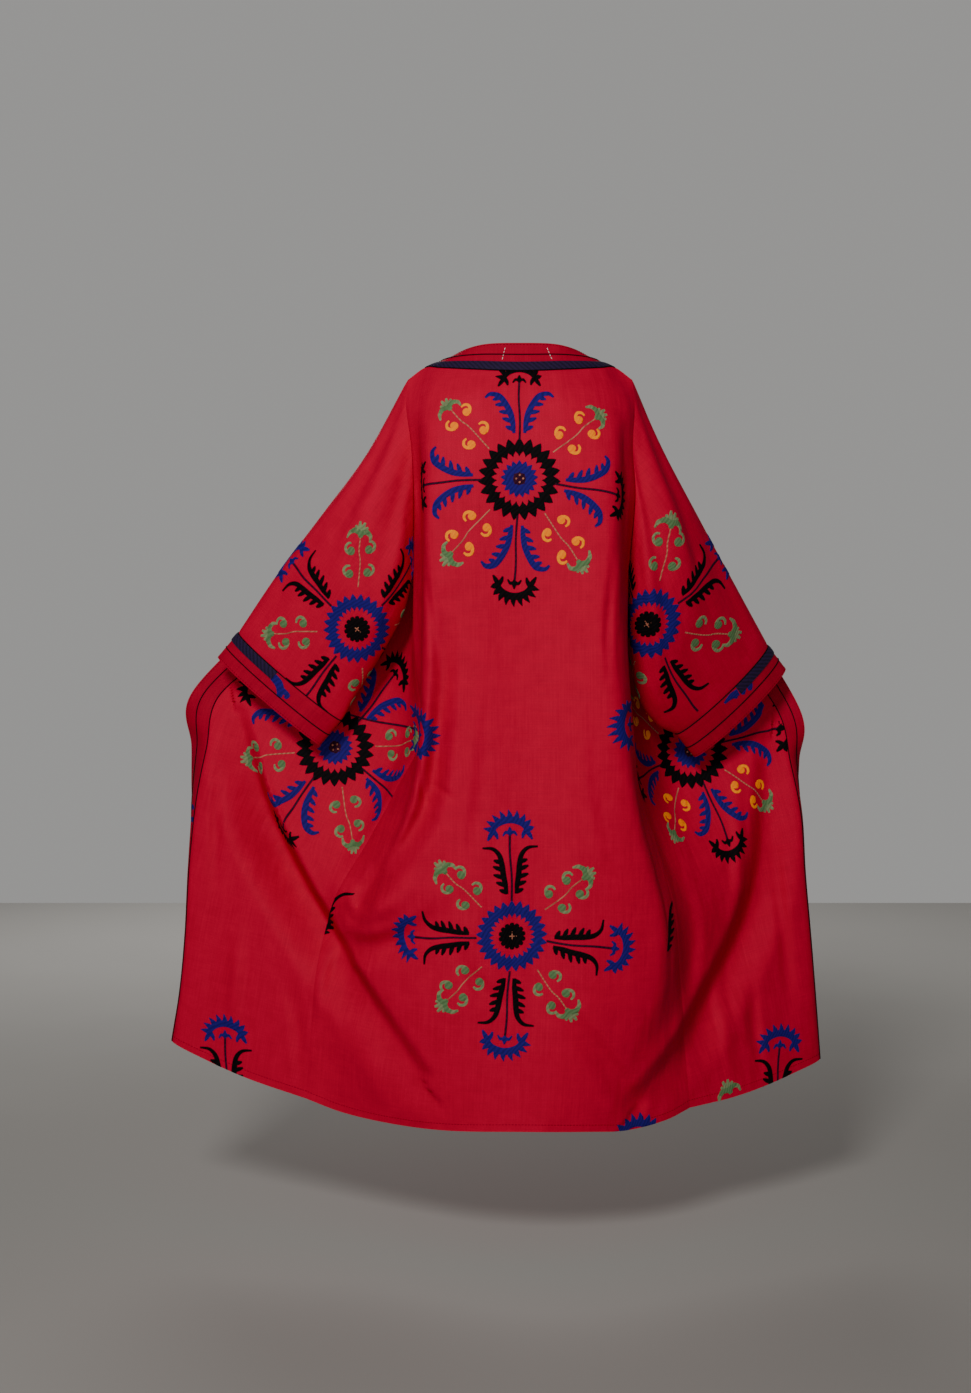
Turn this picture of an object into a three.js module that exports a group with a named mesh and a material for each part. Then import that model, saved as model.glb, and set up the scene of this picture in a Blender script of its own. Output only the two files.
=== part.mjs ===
// A long open robe of kimono cut, embroidered in the Central Asian way: straight back, two fronts,
// wide sleeves, and one border band round the neck, fronts and cuffs. It hangs as it is worn, with
// the two front edges drawn out to the sides, so it opens like a cape and is hollow in front.
// Millimetres, +Z up. The origin is the middle of the neck at shoulder height. The wearer looks
// along -Y, so the left front and sleeve are on the +X side.
import * as THREE from 'three';

// ---- driving sizes --------------------------------------------------------------------------
const CLOTH = 1.6; // wall of every cloth piece
const SEAM_INSET = 0.2; // each piece stops this short of its seam line
const BAND_WIDTH = 60; // border band
const BRAID_INNER = 41; // the braid lies on the band, this far from the band's free edge
const BRAID_OUTER = 58;
const BRAID_THICK = 1.5;
const BRAID_GAP = 0.5; // clear of the band below it
const CUFF_BRAID_REACH = 0.46; // share of the cuff's half round that the braid covers
const MITRE_LIMIT = 1.4; // how much longer a seam's mitred corner may be than the wall

const UNDERARM = 4; // the level, in rows of the tables below, at which the armhole ends
const HEM = 12; // the last level
const ARM_STEPS_PER_LEVEL = 2;
const SKIRT_STEPS_PER_LEVEL = 4;
const STEPS_PER_COLUMN = 3;
const FRONT_STEPS_PER_COLUMN = 4;
const BAND_STEPS = 2;
const SLEEVE_STEPS = 15;
const CUFF_STEPS = 3;

const RED = { color: 0xb3142a, roughness: 0.55, metalness: 0 };
const BAND_RED = { color: 0xa01226, roughness: 0.55, metalness: 0 };
const NAVY = { color: 0x271a52, roughness: 0.7, metalness: 0 };

// A table is a line of column names and a row of numbers for each level.
function table(header, rows) {
  const names = header.split(' ');
  return rows.map((row) => Object.fromEntries(names.map((name, i) => [name, row[i]])));
}

// ---- the cloth's lines, level by level ------------------------------------------------------
// Centre back, from the band seam at the neck to the hem.
const CENTRE_BACK = table('y z', [
  [72, -43],
  [98, -92],
  [114, -160],
  [121, -250],
  [121, -380],
  [123, -520],
  [128, -660],
  [133, -795],
  [138, -900],
  [144, -1005],
  [151, -1112],
  [159, -1225],
  [166, -1334],
]);

// Back panel between the centre and the side: a broad flat, a ridge and the valley behind it.
const BACK_COLUMNS = 'midX midY midZ ridgeX ridgeY ridgeZ valleyX valleyY valleyZ';
const BACK_LEFT = table(BACK_COLUMNS, [
  [82, 57, -39, 138, 29, -34, 165, 0, -31],
  [80, 96, -90, 146, 70, -87, 178, 42, -94],
  [80, 116, -160, 153, 102, -160, 176, 56, -164],
  [80, 126, -250, 155, 116, -250, 172, 52, -254],
  [82, 128, -380, 156, 122, -380, 170, 52, -382],
  [84, 130, -520, 158, 122, -520, 172, 55, -520],
  [88, 136, -660, 162, 122, -660, 174, 66, -660],
  [94, 142, -793, 180, 120, -790, 198, 66, -778],
  [100, 147, -900, 212, 112, -894, 240, 58, -878],
  [108, 150, -1006, 246, 96, -1000, 286, 44, -982],
  [118, 152, -1116, 250, 96, -1112, 310, 42, -1096],
  [122, 148, -1231, 240, 96, -1234, 316, 38, -1220],
  [120, 138, -1340, 215, 88, -1343, 308, 36, -1337],
]);
const BACK_RIGHT = table(BACK_COLUMNS, [
  [-82, 57, -39, -138, 29, -34, -165, 0, -31],
  [-80, 96, -90, -146, 68, -87, -180, 46, -94],
  [-80, 116, -160, -153, 100, -160, -178, 66, -164],
  [-80, 126, -250, -155, 116, -250, -180, 70, -254],
  [-82, 128, -380, -152, 126, -380, -178, 80, -382],
  [-84, 131, -520, -150, 132, -520, -180, 92, -520],
  [-88, 137, -660, -166, 134, -660, -192, 92, -662],
  [-93, 142, -793, -188, 128, -793, -206, 84, -788],
  [-98, 147, -901, -214, 116, -900, -234, 76, -892],
  [-105, 151, -1007, -232, 114, -1006, -258, 78, -996],
  [-114, 153, -1116, -224, 118, -1120, -264, 76, -1110],
  [-114, 151, -1231, -208, 116, -1238, -268, 66, -1230],
  [-108, 145, -1340, -188, 114, -1346, -252, 72, -1341],
]);

// Armhole seams from the shoulder tip to the underarm, on the back and on the front.
const ARM_BACK_LEFT = table('x y z', [
  [195, -1, -52],
  [197, 24, -100],
  [188, 38, -168],
  [184, 32, -258],
  [186, 6, -384],
]);
const ARM_FRONT_LEFT = table('x y z', [
  [195, -1, -52],
  [199, -38, -112],
  [198, -56, -190],
  [193, -44, -282],
  [186, 6, -384],
]);
const ARM_BACK_RIGHT = table('x y z', [
  [-195, -1, -52],
  [-198, 26, -100],
  [-194, 42, -168],
  [-198, 40, -258],
  [-190, 6, -384],
]);
const ARM_FRONT_RIGHT = table('x y z', [
  [-195, -1, -52],
  [-199, -38, -112],
  [-198, -56, -190],
  [-195, -44, -282],
  [-190, 6, -384],
]);

// Side seams from the underarm to the hem.
const SIDE_LEFT = table('x y z', [
  [186, 6, -384],
  [186, 18, -520],
  [172, 30, -665],
  [214, 8, -760],
  [268, 0, -860],
  [327, -2, -962],
  [358, 0, -1078],
  [370, 5, -1200],
  [380, 8, -1318],
]);
const SIDE_RIGHT = table('x y z', [
  [-190, 6, -384],
  [-188, 24, -520],
  [-199, 30, -665],
  [-208, 36, -768],
  [-238, 42, -862],
  [-269, 48, -970],
  [-282, 40, -1088],
  [-292, 32, -1208],
  [-301, 30, -1329],
]);

// Fronts from the side seam to the free edge. At the chest the front turns back on itself like a
// lapel; lower down it runs out sideways to where the edge is held, and hangs from there.
const FRONT_COLUMNS = 'innerX innerY middleX middleY turnX turnY outerX outerY ' +
  'bandX bandY bandZ edgeX edgeY edgeZ sag';
const FRONT_LEFT = table(FRONT_COLUMNS, [
  [189, -1, 183, -1, 177, -1, 171, -1, 165, 0, -31, 118, 0, -12, 0],
  [189, -60, 180, -74, 174, -82, 169, -89, 164, -95, -100, 166, -145, -92, 0],
  [160, -88, 138, -104, 140, -118, 158, -128, 186, -134, -195, 236, -138, -165, 0],
  [162, -88, 150, -112, 166, -130, 205, -139, 258, -144, -285, 309, -146, -255, 0],
  [172, -50, 180, -96, 215, -128, 275, -142, 345, -148, -400, 395, -148, -365, 0],
  [190, -36, 218, -88, 280, -123, 355, -140, 438, -144, -520, 487, -140, -488, 0],
  [212, -50, 310, -82, 430, -92, 500, -100, 543, -115, -612, 596, -120, -612, -12],
  [252, -46, 345, -66, 440, -66, 515, -80, 564, -102, -705, 598, -150, -705, -14],
  [300, -26, 362, -42, 440, -54, 520, -74, 583, -99, -800, 599, -155, -800, -6],
  [350, -14, 395, -28, 450, -48, 525, -72, 596, -95, -915, 592, -155, -915, 0],
  [385, -12, 425, -28, 472, -46, 540, -70, 604, -92, -1040, 596, -152, -1040, 0],
  [400, -8, 440, -24, 487, -42, 552, -68, 615, -93, -1145, 604, -153, -1145, 0],
  [410, -6, 450, -22, 497, -40, 563, -65, 631, -95, -1240, 618, -154, -1240, -9],
]);
const FRONT_RIGHT = table(FRONT_COLUMNS, [
  [-189, -1, -183, -1, -177, -1, -171, -1, -165, 0, -31, -118, 0, -12, 0],
  [-191, -60, -183, -78, -177, -90, -171, -100, -166, -108, -100, -167, -158, -92, 0],
  [-160, -96, -138, -122, -142, -142, -162, -158, -188, -168, -195, -234, -180, -165, 0],
  [-160, -104, -149, -142, -165, -170, -203, -188, -248, -200, -285, -295, -208, -255, 0],
  [-170, -64, -172, -124, -204, -176, -262, -203, -327, -218, -400, -368, -230, -365, 0],
  [-172, -46, -184, -124, -240, -188, -318, -217, -398, -234, -520, -436, -240, -490, 0],
  [-200, -66, -262, -160, -385, -192, -440, -194, -482, -196, -648, -524, -194, -648, -8],
  [-222, -50, -275, -142, -395, -160, -455, -172, -503, -180, -738, -525, -218, -738, -8],
  [-252, -20, -305, -90, -395, -122, -462, -146, -521, -164, -835, -522, -222, -835, 0],
  [-290, 6, -330, -42, -398, -92, -465, -128, -528, -157, -942, -523, -216, -942, 0],
  [-306, -2, -345, -42, -405, -86, -472, -124, -539, -150, -1064, -530, -210, -1064, 0],
  [-322, -4, -364, -38, -422, -76, -485, -112, -549, -145, -1182, -540, -204, -1182, 0],
  [-335, 10, -378, -14, -432, -50, -495, -94, -557, -140, -1284, -547, -199, -1284, -9],
]);

// Free edge of the neck band from the left shoulder to the right.
const NECK_EDGE = table('x y z', [
  [118, 0, -12],
  [92, 25, -1],
  [56, 40, 6],
  [0, 46, 7],
  [-56, 40, 6],
  [-92, 25, -1],
  [-118, 0, -12],
]);

// Folds of the skirt as they lie, seen from behind: a line of four points from top to bottom, how
// far the cloth stands out along it (less than nothing for a trough) and how wide it is on the
// +X side and on the -X side.
const FOLDS = table('x0 z0 x1 z1 x2 z2 x3 z3 start middle end plus minus', [
  [512, -640, 468, -850, 382, -1035, 225, -1240, -12, -62, -10, 92, 32],
  [129, -431, 136, -620, 168, -800, 275, -955, -4, -28, -16, 26, 34],
  [309, -1085, 236, -1107, 156, -1099, 87, -1134, -8, -12, -4, 45, 45],
  [-467, -705, -430, -967, -318, -1166, -208, -1299, -10, -36, -14, 36, 78],
  [-77, -1136, -120, -1185, -164, -1248, -201, -1303, -4, -12, -12, 40, 26],
  [-167, -753, -195, -845, -215, -945, -245, -1045, -4, -11, -4, 24, 18],
]);
const FOLD_STEPS = 12;

// Sleeve rings from the armhole to the band seam and on to the cuff's end: the upper and the
// lower line of the sleeve, and how far the ring stands out behind and in front of them.
const RING_COLUMNS = 'topX topY topZ lowX lowY lowZ back front';
const SLEEVE_LEFT = table(RING_COLUMNS, [
  [195, -1, -52, 186, 6, -384, 42, 52],
  [268, -9, -181, 201, 2, -450, 60, 60],
  [345, -26, -283, 236, -8, -520, 56, 54],
  [425, -47, -386, 280, -18, -588, 42, 42],
  [500, -71, -493, 314, -26, -647, 30, 30],
]);
const CUFF_LEFT = table(RING_COLUMNS, [
  [500, -71, -493, 314, -26, -647, 30, 30],
  [539, -80, -538, 353, -32, -692, 28, 28],
]);
const SLEEVE_RIGHT = table(RING_COLUMNS, [
  [-195, -1, -52, -190, 6, -384, 42, 52],
  [-257, -28, -188, -196, -12, -500, 62, 58],
  [-321, -64, -300, -214, -48, -608, 60, 52],
  [-390, -104, -415, -246, -76, -658, 46, 40],
  [-452, -140, -519, -282, -92, -677, 30, 30],
]);
const CUFF_RIGHT = table(RING_COLUMNS, [
  [-452, -140, -519, -282, -92, -677, 30, 30],
  [-488, -160, -563, -318, -112, -721, 28, 28],
]);

const LEFT = {
  back: BACK_LEFT, armBack: ARM_BACK_LEFT, armFront: ARM_FRONT_LEFT, side: SIDE_LEFT,
  front: FRONT_LEFT, sleeve: SLEEVE_LEFT, cuff: CUFF_LEFT,
};
const RIGHT = {
  back: BACK_RIGHT, armBack: ARM_BACK_RIGHT, armFront: ARM_FRONT_RIGHT, side: SIDE_RIGHT,
  front: FRONT_RIGHT, sleeve: SLEEVE_RIGHT, cuff: CUFF_RIGHT,
};

// ---- curves ---------------------------------------------------------------------------------
// One number of a Catmull-Rom curve between b and c, with a and d as their neighbours.
function blend(a, b, c, d, t) {
  const slopeB = (c - a) / 2;
  const slopeC = (d - b) / 2;
  const t2 = t * t;
  const t3 = t2 * t;
  return (2 * t3 - 3 * t2 + 1) * b + (t3 - 2 * t2 + t) * slopeB
    + (3 * t2 - 2 * t3) * c + (t3 - t2) * slopeC;
}

// The record at place t of a list of records: row 0 at t = 0, row 1 at t = 1 and so on.
function between(rows, t) {
  const last = rows.length - 1;
  const k = Math.min(Math.max(Math.floor(t), 0), last - 1);
  const here = rows[k];
  const next = rows[k + 1];
  const before = rows[k - 1];
  const after = rows[k + 2];
  const record = {};
  for (const name of Object.keys(here)) {
    const a = before ? before[name] : 2 * here[name] - next[name];
    const d = after ? after[name] : 2 * next[name] - here[name];
    record[name] = blend(a, here[name], next[name], d, t - k);
  }
  return record;
}

const point = (x, y, z) => ({ x, y, z });
const vector = (p) => new THREE.Vector3(p.x, p.y, p.z);

// ---- folds ----------------------------------------------------------------------------------
function foldLine(row) {
  const points = [0, 1, 2, 3].map((i) => ({ x: row[`x${i}`], z: row[`z${i}`] }));
  const depths = [{ depth: row.start }, { depth: row.middle }, { depth: row.end }];
  return Array.from({ length: FOLD_STEPS + 1 }, (_, i) => {
    const share = i / FOLD_STEPS;
    return { ...between(points, share * 3), ...between(depths, share * 2) };
  });
}

const FOLD_LINES = FOLDS.map((row) => ({ line: foldLine(row), plus: row.plus, minus: row.minus }));

// How far one fold moves the cloth at x, z. Its depth falls softly to nothing on either side.
function foldDepth(fold, x, z) {
  let best = { distance: Infinity };
  for (let i = 0; i < FOLD_STEPS; i++) {
    const a = fold.line[i];
    const b = fold.line[i + 1];
    const runX = b.x - a.x;
    const runZ = b.z - a.z;
    const along = ((x - a.x) * runX + (z - a.z) * runZ) / (runX * runX + runZ * runZ);
    const t = Math.min(Math.max(along, 0), 1);
    const distance = Math.hypot(x - a.x - runX * t, z - a.z - runZ * t);
    if (distance < best.distance) {
      const onPlusSide = runX * (z - a.z) - runZ * (x - a.x) > 0;
      best = { distance, onPlusSide, depth: a.depth + (b.depth - a.depth) * t };
    }
  }
  const reach = Math.min(best.distance / (best.onPlusSide ? fold.plus : fold.minus), 1);
  return (best.depth * (1 + Math.cos(Math.PI * reach))) / 2;
}

// A cloth point with the folds in it; z is the height it had on the smooth cloth.
function folded(p) {
  const shift = FOLD_LINES.reduce((sum, fold) => sum + foldDepth(fold, p.x, p.z), 0);
  return new THREE.Vector3(p.x, p.y + shift, p.z);
}

// ---- the two sheets of cloth ----------------------------------------------------------------
function seamAt(arm, side, level) {
  return level <= UNDERARM ? between(arm, level) : between(side, level - UNDERARM);
}

function backHalf(half, level) {
  const row = between(half.back, level);
  return [
    point(row.midX, row.midY, row.midZ),
    point(row.ridgeX, row.ridgeY, row.ridgeZ),
    point(row.valleyX, row.valleyY, row.valleyZ),
    seamAt(half.armBack, half.side, level),
  ];
}

// The back panel's section at a level, from the left seam to the right seam.
function backSection(level) {
  const centre = between(CENTRE_BACK, level);
  const left = backHalf(LEFT, level).reverse();
  return [...left, point(0, centre.y, centre.z), ...backHalf(RIGHT, level)];
}

// A front's section at a level, from the side seam to the free edge. Height runs evenly along
// the cloth from the seam to the band, with the row's sag in the middle.
function frontSection(half, level) {
  const row = between(half.front, level);
  const seam = seamAt(half.armFront, half.side, level);
  const columns = ['inner', 'middle', 'turn', 'outer', 'band'];
  const flat = [seam, ...columns.map((name) => point(row[`${name}X`], row[`${name}Y`], 0))];
  const along = [0];
  for (let i = 1; i < flat.length; i++) {
    along.push(along[i - 1] + Math.hypot(flat[i].x - flat[i - 1].x, flat[i].y - flat[i - 1].y));
  }
  const whole = along[along.length - 1];
  const section = flat.map((p, i) => {
    const share = along[i] / whole;
    const drop = row.sag * Math.sin(Math.PI * share);
    return point(p.x, p.y, seam.z + (row.bandZ - seam.z) * share + drop);
  });
  section.push(point(row.edgeX, row.edgeY, row.edgeZ));
  return section;
}

// Evenly spaced places from a to b with a number of steps for each whole unit.
function places(from, to, stepsPerUnit) {
  const steps = Math.round((to - from) * stepsPerUnit);
  return Array.from({ length: steps + 1 }, (_, i) => from + ((to - from) * i) / steps);
}

const ARM_LEVELS = places(0, UNDERARM, ARM_STEPS_PER_LEVEL);
const LEVELS = [...ARM_LEVELS, ...places(UNDERARM, HEM, SKIRT_STEPS_PER_LEVEL).slice(1)];
const FRONT_BAND_COLUMN = 5; // seam, inner, middle, turn, outer, band
const SHOULDER_START = 164; // distance from the middle at which the shoulder seam begins
const SHOULDER_OUT = new THREE.Vector3(0.42, 0, 0.91); // square to the left shoulder seam
const NECK_COLUMN = 1; // the back section's column at which the neck band ends on the shoulder

// Rows of points: grid[i][j] with i down the levels and j across the columns.
function sheet(sectionAt, levels, columns) {
  return levels.map((level) => {
    const section = sectionAt(level);
    return columns.map((column) => folded(between(section, column)));
  });
}

function backPanel() {
  return sheet(backSection, LEVELS, places(0, 8, STEPS_PER_COLUMN));
}

// The shoulder seam at a share of the way from the armhole to the neck band. It keeps to the back
// panel's own straight steps, so the two walls meet all along it.
function shoulderSeam(half, share) {
  const section = backHalf(half, 0).reverse();
  const step = Math.min(Math.floor(share * STEPS_PER_COLUMN), STEPS_PER_COLUMN - 1);
  const a = vector(between(section, step / STEPS_PER_COLUMN));
  const b = vector(between(section, (step + 1) / STEPS_PER_COLUMN));
  return a.lerp(b, share * STEPS_PER_COLUMN - step);
}

function frontPanel(half) {
  const columns = places(0, FRONT_BAND_COLUMN, FRONT_STEPS_PER_COLUMN);
  const rows = sheet((level) => frontSection(half, level), LEVELS, columns);
  rows[0] = columns.map((column) => shoulderSeam(half, column / FRONT_BAND_COLUMN));
  return rows;
}

function frontBand(half) {
  const columns = places(FRONT_BAND_COLUMN, FRONT_BAND_COLUMN + 1, BAND_STEPS);
  const rows = sheet((level) => frontSection(half, level), LEVELS, columns);
  const top = rows[0];
  rows[0] = places(0, 1, BAND_STEPS).map((share) => top[0].clone().lerp(top[BAND_STEPS], share));
  return rows;
}

// The neck band runs from the back panel's top edge up to the neck edge.
function neckBand() {
  const top = backSection(0);
  const columns = places(NECK_COLUMN, 8 - NECK_COLUMN, STEPS_PER_COLUMN);
  const shares = places(0, 1, BAND_STEPS);
  return shares.map((share) => columns.map((column) => {
    const seam = vector(between(top, column));
    const edge = vector(between(NECK_EDGE, column - NECK_COLUMN));
    return seam.lerp(edge, share);
  })).reverse();
}

// ---- sleeves --------------------------------------------------------------------------------
const round = ARM_LEVELS.length - 1; // steps from the sleeve's upper line to its lower line
const HALF_TURNS = Array.from({ length: 2 * round }, (_, i) => (i * Math.PI) / round);

// The unit direction in which a ring stands out behind the sleeve.
function outward(rows, t) {
  const reach = 0.05;
  const here = between(rows, t);
  const a = between(rows, Math.max(t - reach, 0));
  const b = between(rows, Math.min(t + reach, rows.length - 1));
  const along = new THREE.Vector3(
    b.topX + b.lowX - a.topX - a.lowX,
    b.topY + b.lowY - a.topY - a.lowY,
    b.topZ + b.lowZ - a.topZ - a.lowZ,
  );
  const across = new THREE.Vector3(here.lowX - here.topX, here.lowY - here.topY, here.lowZ - here.topZ);
  const out = along.cross(across).normalize();
  return out.y < 0 ? out.negate() : out;
}

// A ring of a sleeve at place t of its table; it starts at the upper line and goes behind first.
function ring(rows, t) {
  const row = between(rows, t);
  const top = new THREE.Vector3(row.topX, row.topY, row.topZ);
  const low = new THREE.Vector3(row.lowX, row.lowY, row.lowZ);
  const out = outward(rows, t);
  return HALF_TURNS.map((turn) => {
    const depth = Math.sin(turn) * (turn < Math.PI ? row.back : row.front);
    return top.clone().lerp(low, (1 - Math.cos(turn)) / 2).addScaledVector(out, depth);
  });
}

// The armhole as a ring of points that are the panels' own seam points.
function armhole(half) {
  const behind = ARM_LEVELS.map((level) => vector(between(half.armBack, level)));
  const before = ARM_LEVELS.map((level) => vector(between(half.armFront, level)));
  return [...behind, ...before.slice(1, -1).reverse()];
}

function sleeve(half) {
  const last = half.sleeve.length - 1;
  const seam = armhole(half);
  const first = ring(half.sleeve, 0);
  return places(0, 1, SLEEVE_STEPS).map((share) => {
    const fade = (1 - share) ** 4;
    return ring(half.sleeve, share * last).map((p, j) => {
      const shift = seam[j].clone().sub(first[j]);
      return p.addScaledVector(shift, fade);
    });
  });
}

function cuff(half) {
  const seam = ring(half.sleeve, half.sleeve.length - 1);
  const first = ring(half.cuff, 0);
  return places(0, 1, CUFF_STEPS).map((share) => ring(half.cuff, share).map((p, j) => {
    const shift = seam[j].clone().sub(first[j]);
    return p.addScaledVector(shift, 1 - share);
  }));
}

// ---- from rows of points to a closed wall ---------------------------------------------------
// Normals of a grid, on the side that the eye sees with the rows going down and the columns
// going from left to right as seen from behind. A round grid closes on its first column.
function gridNormals(grid, closed) {
  const rows = grid.length;
  const columns = grid[0].length;
  const pick = (i, j) => {
    const jj = closed ? (j + columns) % columns : Math.min(Math.max(j, 0), columns - 1);
    return grid[Math.min(Math.max(i, 0), rows - 1)][jj];
  };
  return grid.map((row, i) => row.map((_, j) => {
    const down = pick(i + 1, j).clone().sub(pick(i - 1, j));
    const across = pick(i, j + 1).clone().sub(pick(i, j - 1));
    return down.cross(across).normalize();
  }));
}

const key = (p) => [p.x, p.y, p.z].map((v) => Math.round(v * 20)).join();

// Pieces that meet on a seam share the sum of their normals there, so their walls end in one
// mitred plane.
function seamNormals(pieces) {
  const sums = new Map();
  for (const piece of pieces) {
    piece.grid.forEach((row, i) => row.forEach((p, j) => {
      if (!onBorder(piece, i, j) || atUnderarm(piece, i, j)) return;
      const sum = sums.get(key(p)) ?? new THREE.Vector3();
      sums.set(key(p), sum.add(seamNormal(piece, i, j)));
    }));
  }
  return sums;
}

// The panels' walls end square to the shoulder seam; elsewhere a border has its own normal.
function seamNormal(piece, i, j) {
  const { x } = piece.grid[i][j];
  if (!piece.shoulder || i > 0 || Math.abs(x) < SHOULDER_START) return piece.normals[i][j];
  return new THREE.Vector3(Math.sign(x) * SHOULDER_OUT.x, 0, SHOULDER_OUT.z);
}

function onBorder(piece, i, j) {
  const { grid, closed } = piece;
  const side = !closed && (j === 0 || j === grid[0].length - 1);
  return side || i === 0 || i === grid.length - 1;
}

// At the underarm the sleeve hangs back against the body, so its wall there is its own.
function atUnderarm(piece, i, j) {
  return piece.sleeve && i === 0 && j === round;
}

// Moves a border point a little into its own piece.
function inset(piece, i, j) {
  const { grid, closed } = piece;
  const moved = grid[i][j].clone();
  const pull = (to) => moved.addScaledVector(to.clone().sub(grid[i][j]).normalize(), SEAM_INSET);
  if (i === 0) pull(grid[1][j]);
  if (i === grid.length - 1) pull(grid[i - 1][j]);
  if (!closed && j === 0) pull(grid[i][1]);
  if (!closed && j === grid[0].length - 1) pull(grid[i][j - 1]);
  return moved;
}

// The outer and inner points of a wall.
function wall(piece, sums) {
  const outer = piece.grid.map((row, i) => row.map((_, j) => inset(piece, i, j)));
  const inner = outer.map((row, i) => row.map((p, j) => {
    const own = piece.normals[i][j];
    let out = own;
    let depth = CLOTH;
    if (onBorder(piece, i, j) && !atUnderarm(piece, i, j)) {
      out = sums.get(key(piece.grid[i][j])).clone().normalize();
      depth = CLOTH * Math.min(1 / Math.max(out.dot(own), 0.2), MITRE_LIMIT);
    }
    return p.clone().addScaledVector(out, -depth);
  }));
  return { outer, inner };
}

// A closed solid between two like grids.
function solid(outer, inner, closed) {
  const rows = outer.length;
  const columns = outer[0].length;
  const positions = [...outer.flat(), ...inner.flat()].flatMap((p) => [p.x, p.y, p.z]);
  const index = [];
  const at = (i, j, side) => side * rows * columns + i * columns + (j % columns);
  const quad = (a, b, c, d) => index.push(a, b, c, a, c, d);
  const lastColumn = closed ? columns : columns - 1;
  for (let i = 0; i < rows - 1; i++) {
    for (let j = 0; j < lastColumn; j++) {
      quad(at(i, j, 0), at(i + 1, j, 0), at(i + 1, j + 1, 0), at(i, j + 1, 0));
      quad(at(i, j, 1), at(i, j + 1, 1), at(i + 1, j + 1, 1), at(i + 1, j, 1));
    }
  }
  for (let j = 0; j < lastColumn; j++) {
    quad(at(0, j + 1, 0), at(0, j + 1, 1), at(0, j, 1), at(0, j, 0));
    quad(at(rows - 1, j + 1, 0), at(rows - 1, j, 0), at(rows - 1, j, 1), at(rows - 1, j + 1, 1));
  }
  if (!closed) {
    for (let i = 0; i < rows - 1; i++) {
      quad(at(i + 1, 0, 0), at(i, 0, 0), at(i, 0, 1), at(i + 1, 0, 1));
      quad(at(i + 1, columns - 1, 0), at(i + 1, columns - 1, 1), at(i, columns - 1, 1),
        at(i, columns - 1, 0));
    }
  }
  const geometry = new THREE.BufferGeometry();
  geometry.setAttribute('position', new THREE.Float32BufferAttribute(positions, 3));
  geometry.setIndex(index);
  return geometry;
}

// A braid that lies on a stretch of a band: rows of the band's points run along the braid, and
// from and to are shares of the band's width.
function braid(bandRows, normalRows, from, to) {
  const lift = (height) => [from, to].map((share) => bandRows.map((row, k) => {
    const place = share * (row.length - 1);
    const j = Math.min(Math.floor(place), row.length - 2);
    const p = row[j].clone().lerp(row[j + 1], place - j);
    const out = normalRows[k][j].clone().lerp(normalRows[k][j + 1], place - j).normalize();
    return p.addScaledVector(out, height);
  }));
  return solid(lift(BRAID_GAP + BRAID_THICK), lift(BRAID_GAP), false);
}

const transpose = (grid) => grid[0].map((_, j) => grid.map((row) => row[j]));

function neckBraid(piece) {
  // The neck band's rows go from the free edge to the seam.
  return braid(transpose(piece.grid), transpose(piece.normals), BRAID_INNER / BAND_WIDTH,
    BRAID_OUTER / BAND_WIDTH);
}

function cuffBraid(piece) {
  // The cuff's rows go from the seam to the free edge, and its first column is the upper line.
  const reach = Math.round(CUFF_BRAID_REACH * round);
  const points = transpose(piece.grid);
  const normals = transpose(piece.normals);
  const wrap = (list) => [...list.slice(-reach), ...list.slice(0, reach + 1)];
  return braid(wrap(points), wrap(normals), 1 - BRAID_OUTER / BAND_WIDTH,
    1 - BRAID_INNER / BAND_WIDTH);
}

// ---- the pieces -----------------------------------------------------------------------------
function mesh(name, geometry, finish) {
  const made = new THREE.Mesh(geometry, new THREE.MeshStandardMaterial(finish));
  made.name = name;
  return made;
}

function flip(grid) {
  return grid.map((row) => [...row].reverse());
}

function clothPieces() {
  const pieces = [
    { name: 'back_panel', grid: backPanel(), finish: RED, shoulder: true },
    { name: 'neck_band', grid: neckBand(), finish: BAND_RED },
    { name: 'front_panel_left', grid: flip(frontPanel(LEFT)), finish: RED, shoulder: true },
    { name: 'front_band_left', grid: flip(frontBand(LEFT)), finish: BAND_RED },
    { name: 'front_panel_right', grid: frontPanel(RIGHT), finish: RED, shoulder: true },
    { name: 'front_band_right', grid: frontBand(RIGHT), finish: BAND_RED },
    { name: 'sleeve_left', grid: sleeve(LEFT), finish: RED, closed: true, sleeve: true },
    { name: 'cuff_band_left', grid: cuff(LEFT), finish: BAND_RED, closed: true },
    {
      name: 'sleeve_right', grid: flipRing(sleeve(RIGHT)), finish: RED, closed: true, sleeve: true,
    },
    { name: 'cuff_band_right', grid: flipRing(cuff(RIGHT)), finish: BAND_RED, closed: true },
  ];
  for (const piece of pieces) {
    piece.normals = gridNormals(piece.grid, piece.closed);
  }
  return pieces;
}

// Turns a ring's direction round but keeps its first point.
function flipRing(grid) {
  return grid.map((row) => [row[0], ...row.slice(1).reverse()]);
}

const robe = new THREE.Group();
const pieces = clothPieces();
const sums = seamNormals(pieces);
for (const piece of pieces) {
  const { outer, inner } = wall(piece, sums);
  robe.add(mesh(piece.name, solid(outer, inner, piece.closed), piece.finish));
}
const named = Object.fromEntries(pieces.map((piece) => [piece.name, piece]));
robe.add(mesh('neck_braid', neckBraid(named.neck_band), NAVY));
robe.add(mesh('cuff_braid_left', cuffBraid(named.cuff_band_left), NAVY));
robe.add(mesh('cuff_braid_right', cuffBraid(named.cuff_band_right), NAVY));

export default robe;
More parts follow.
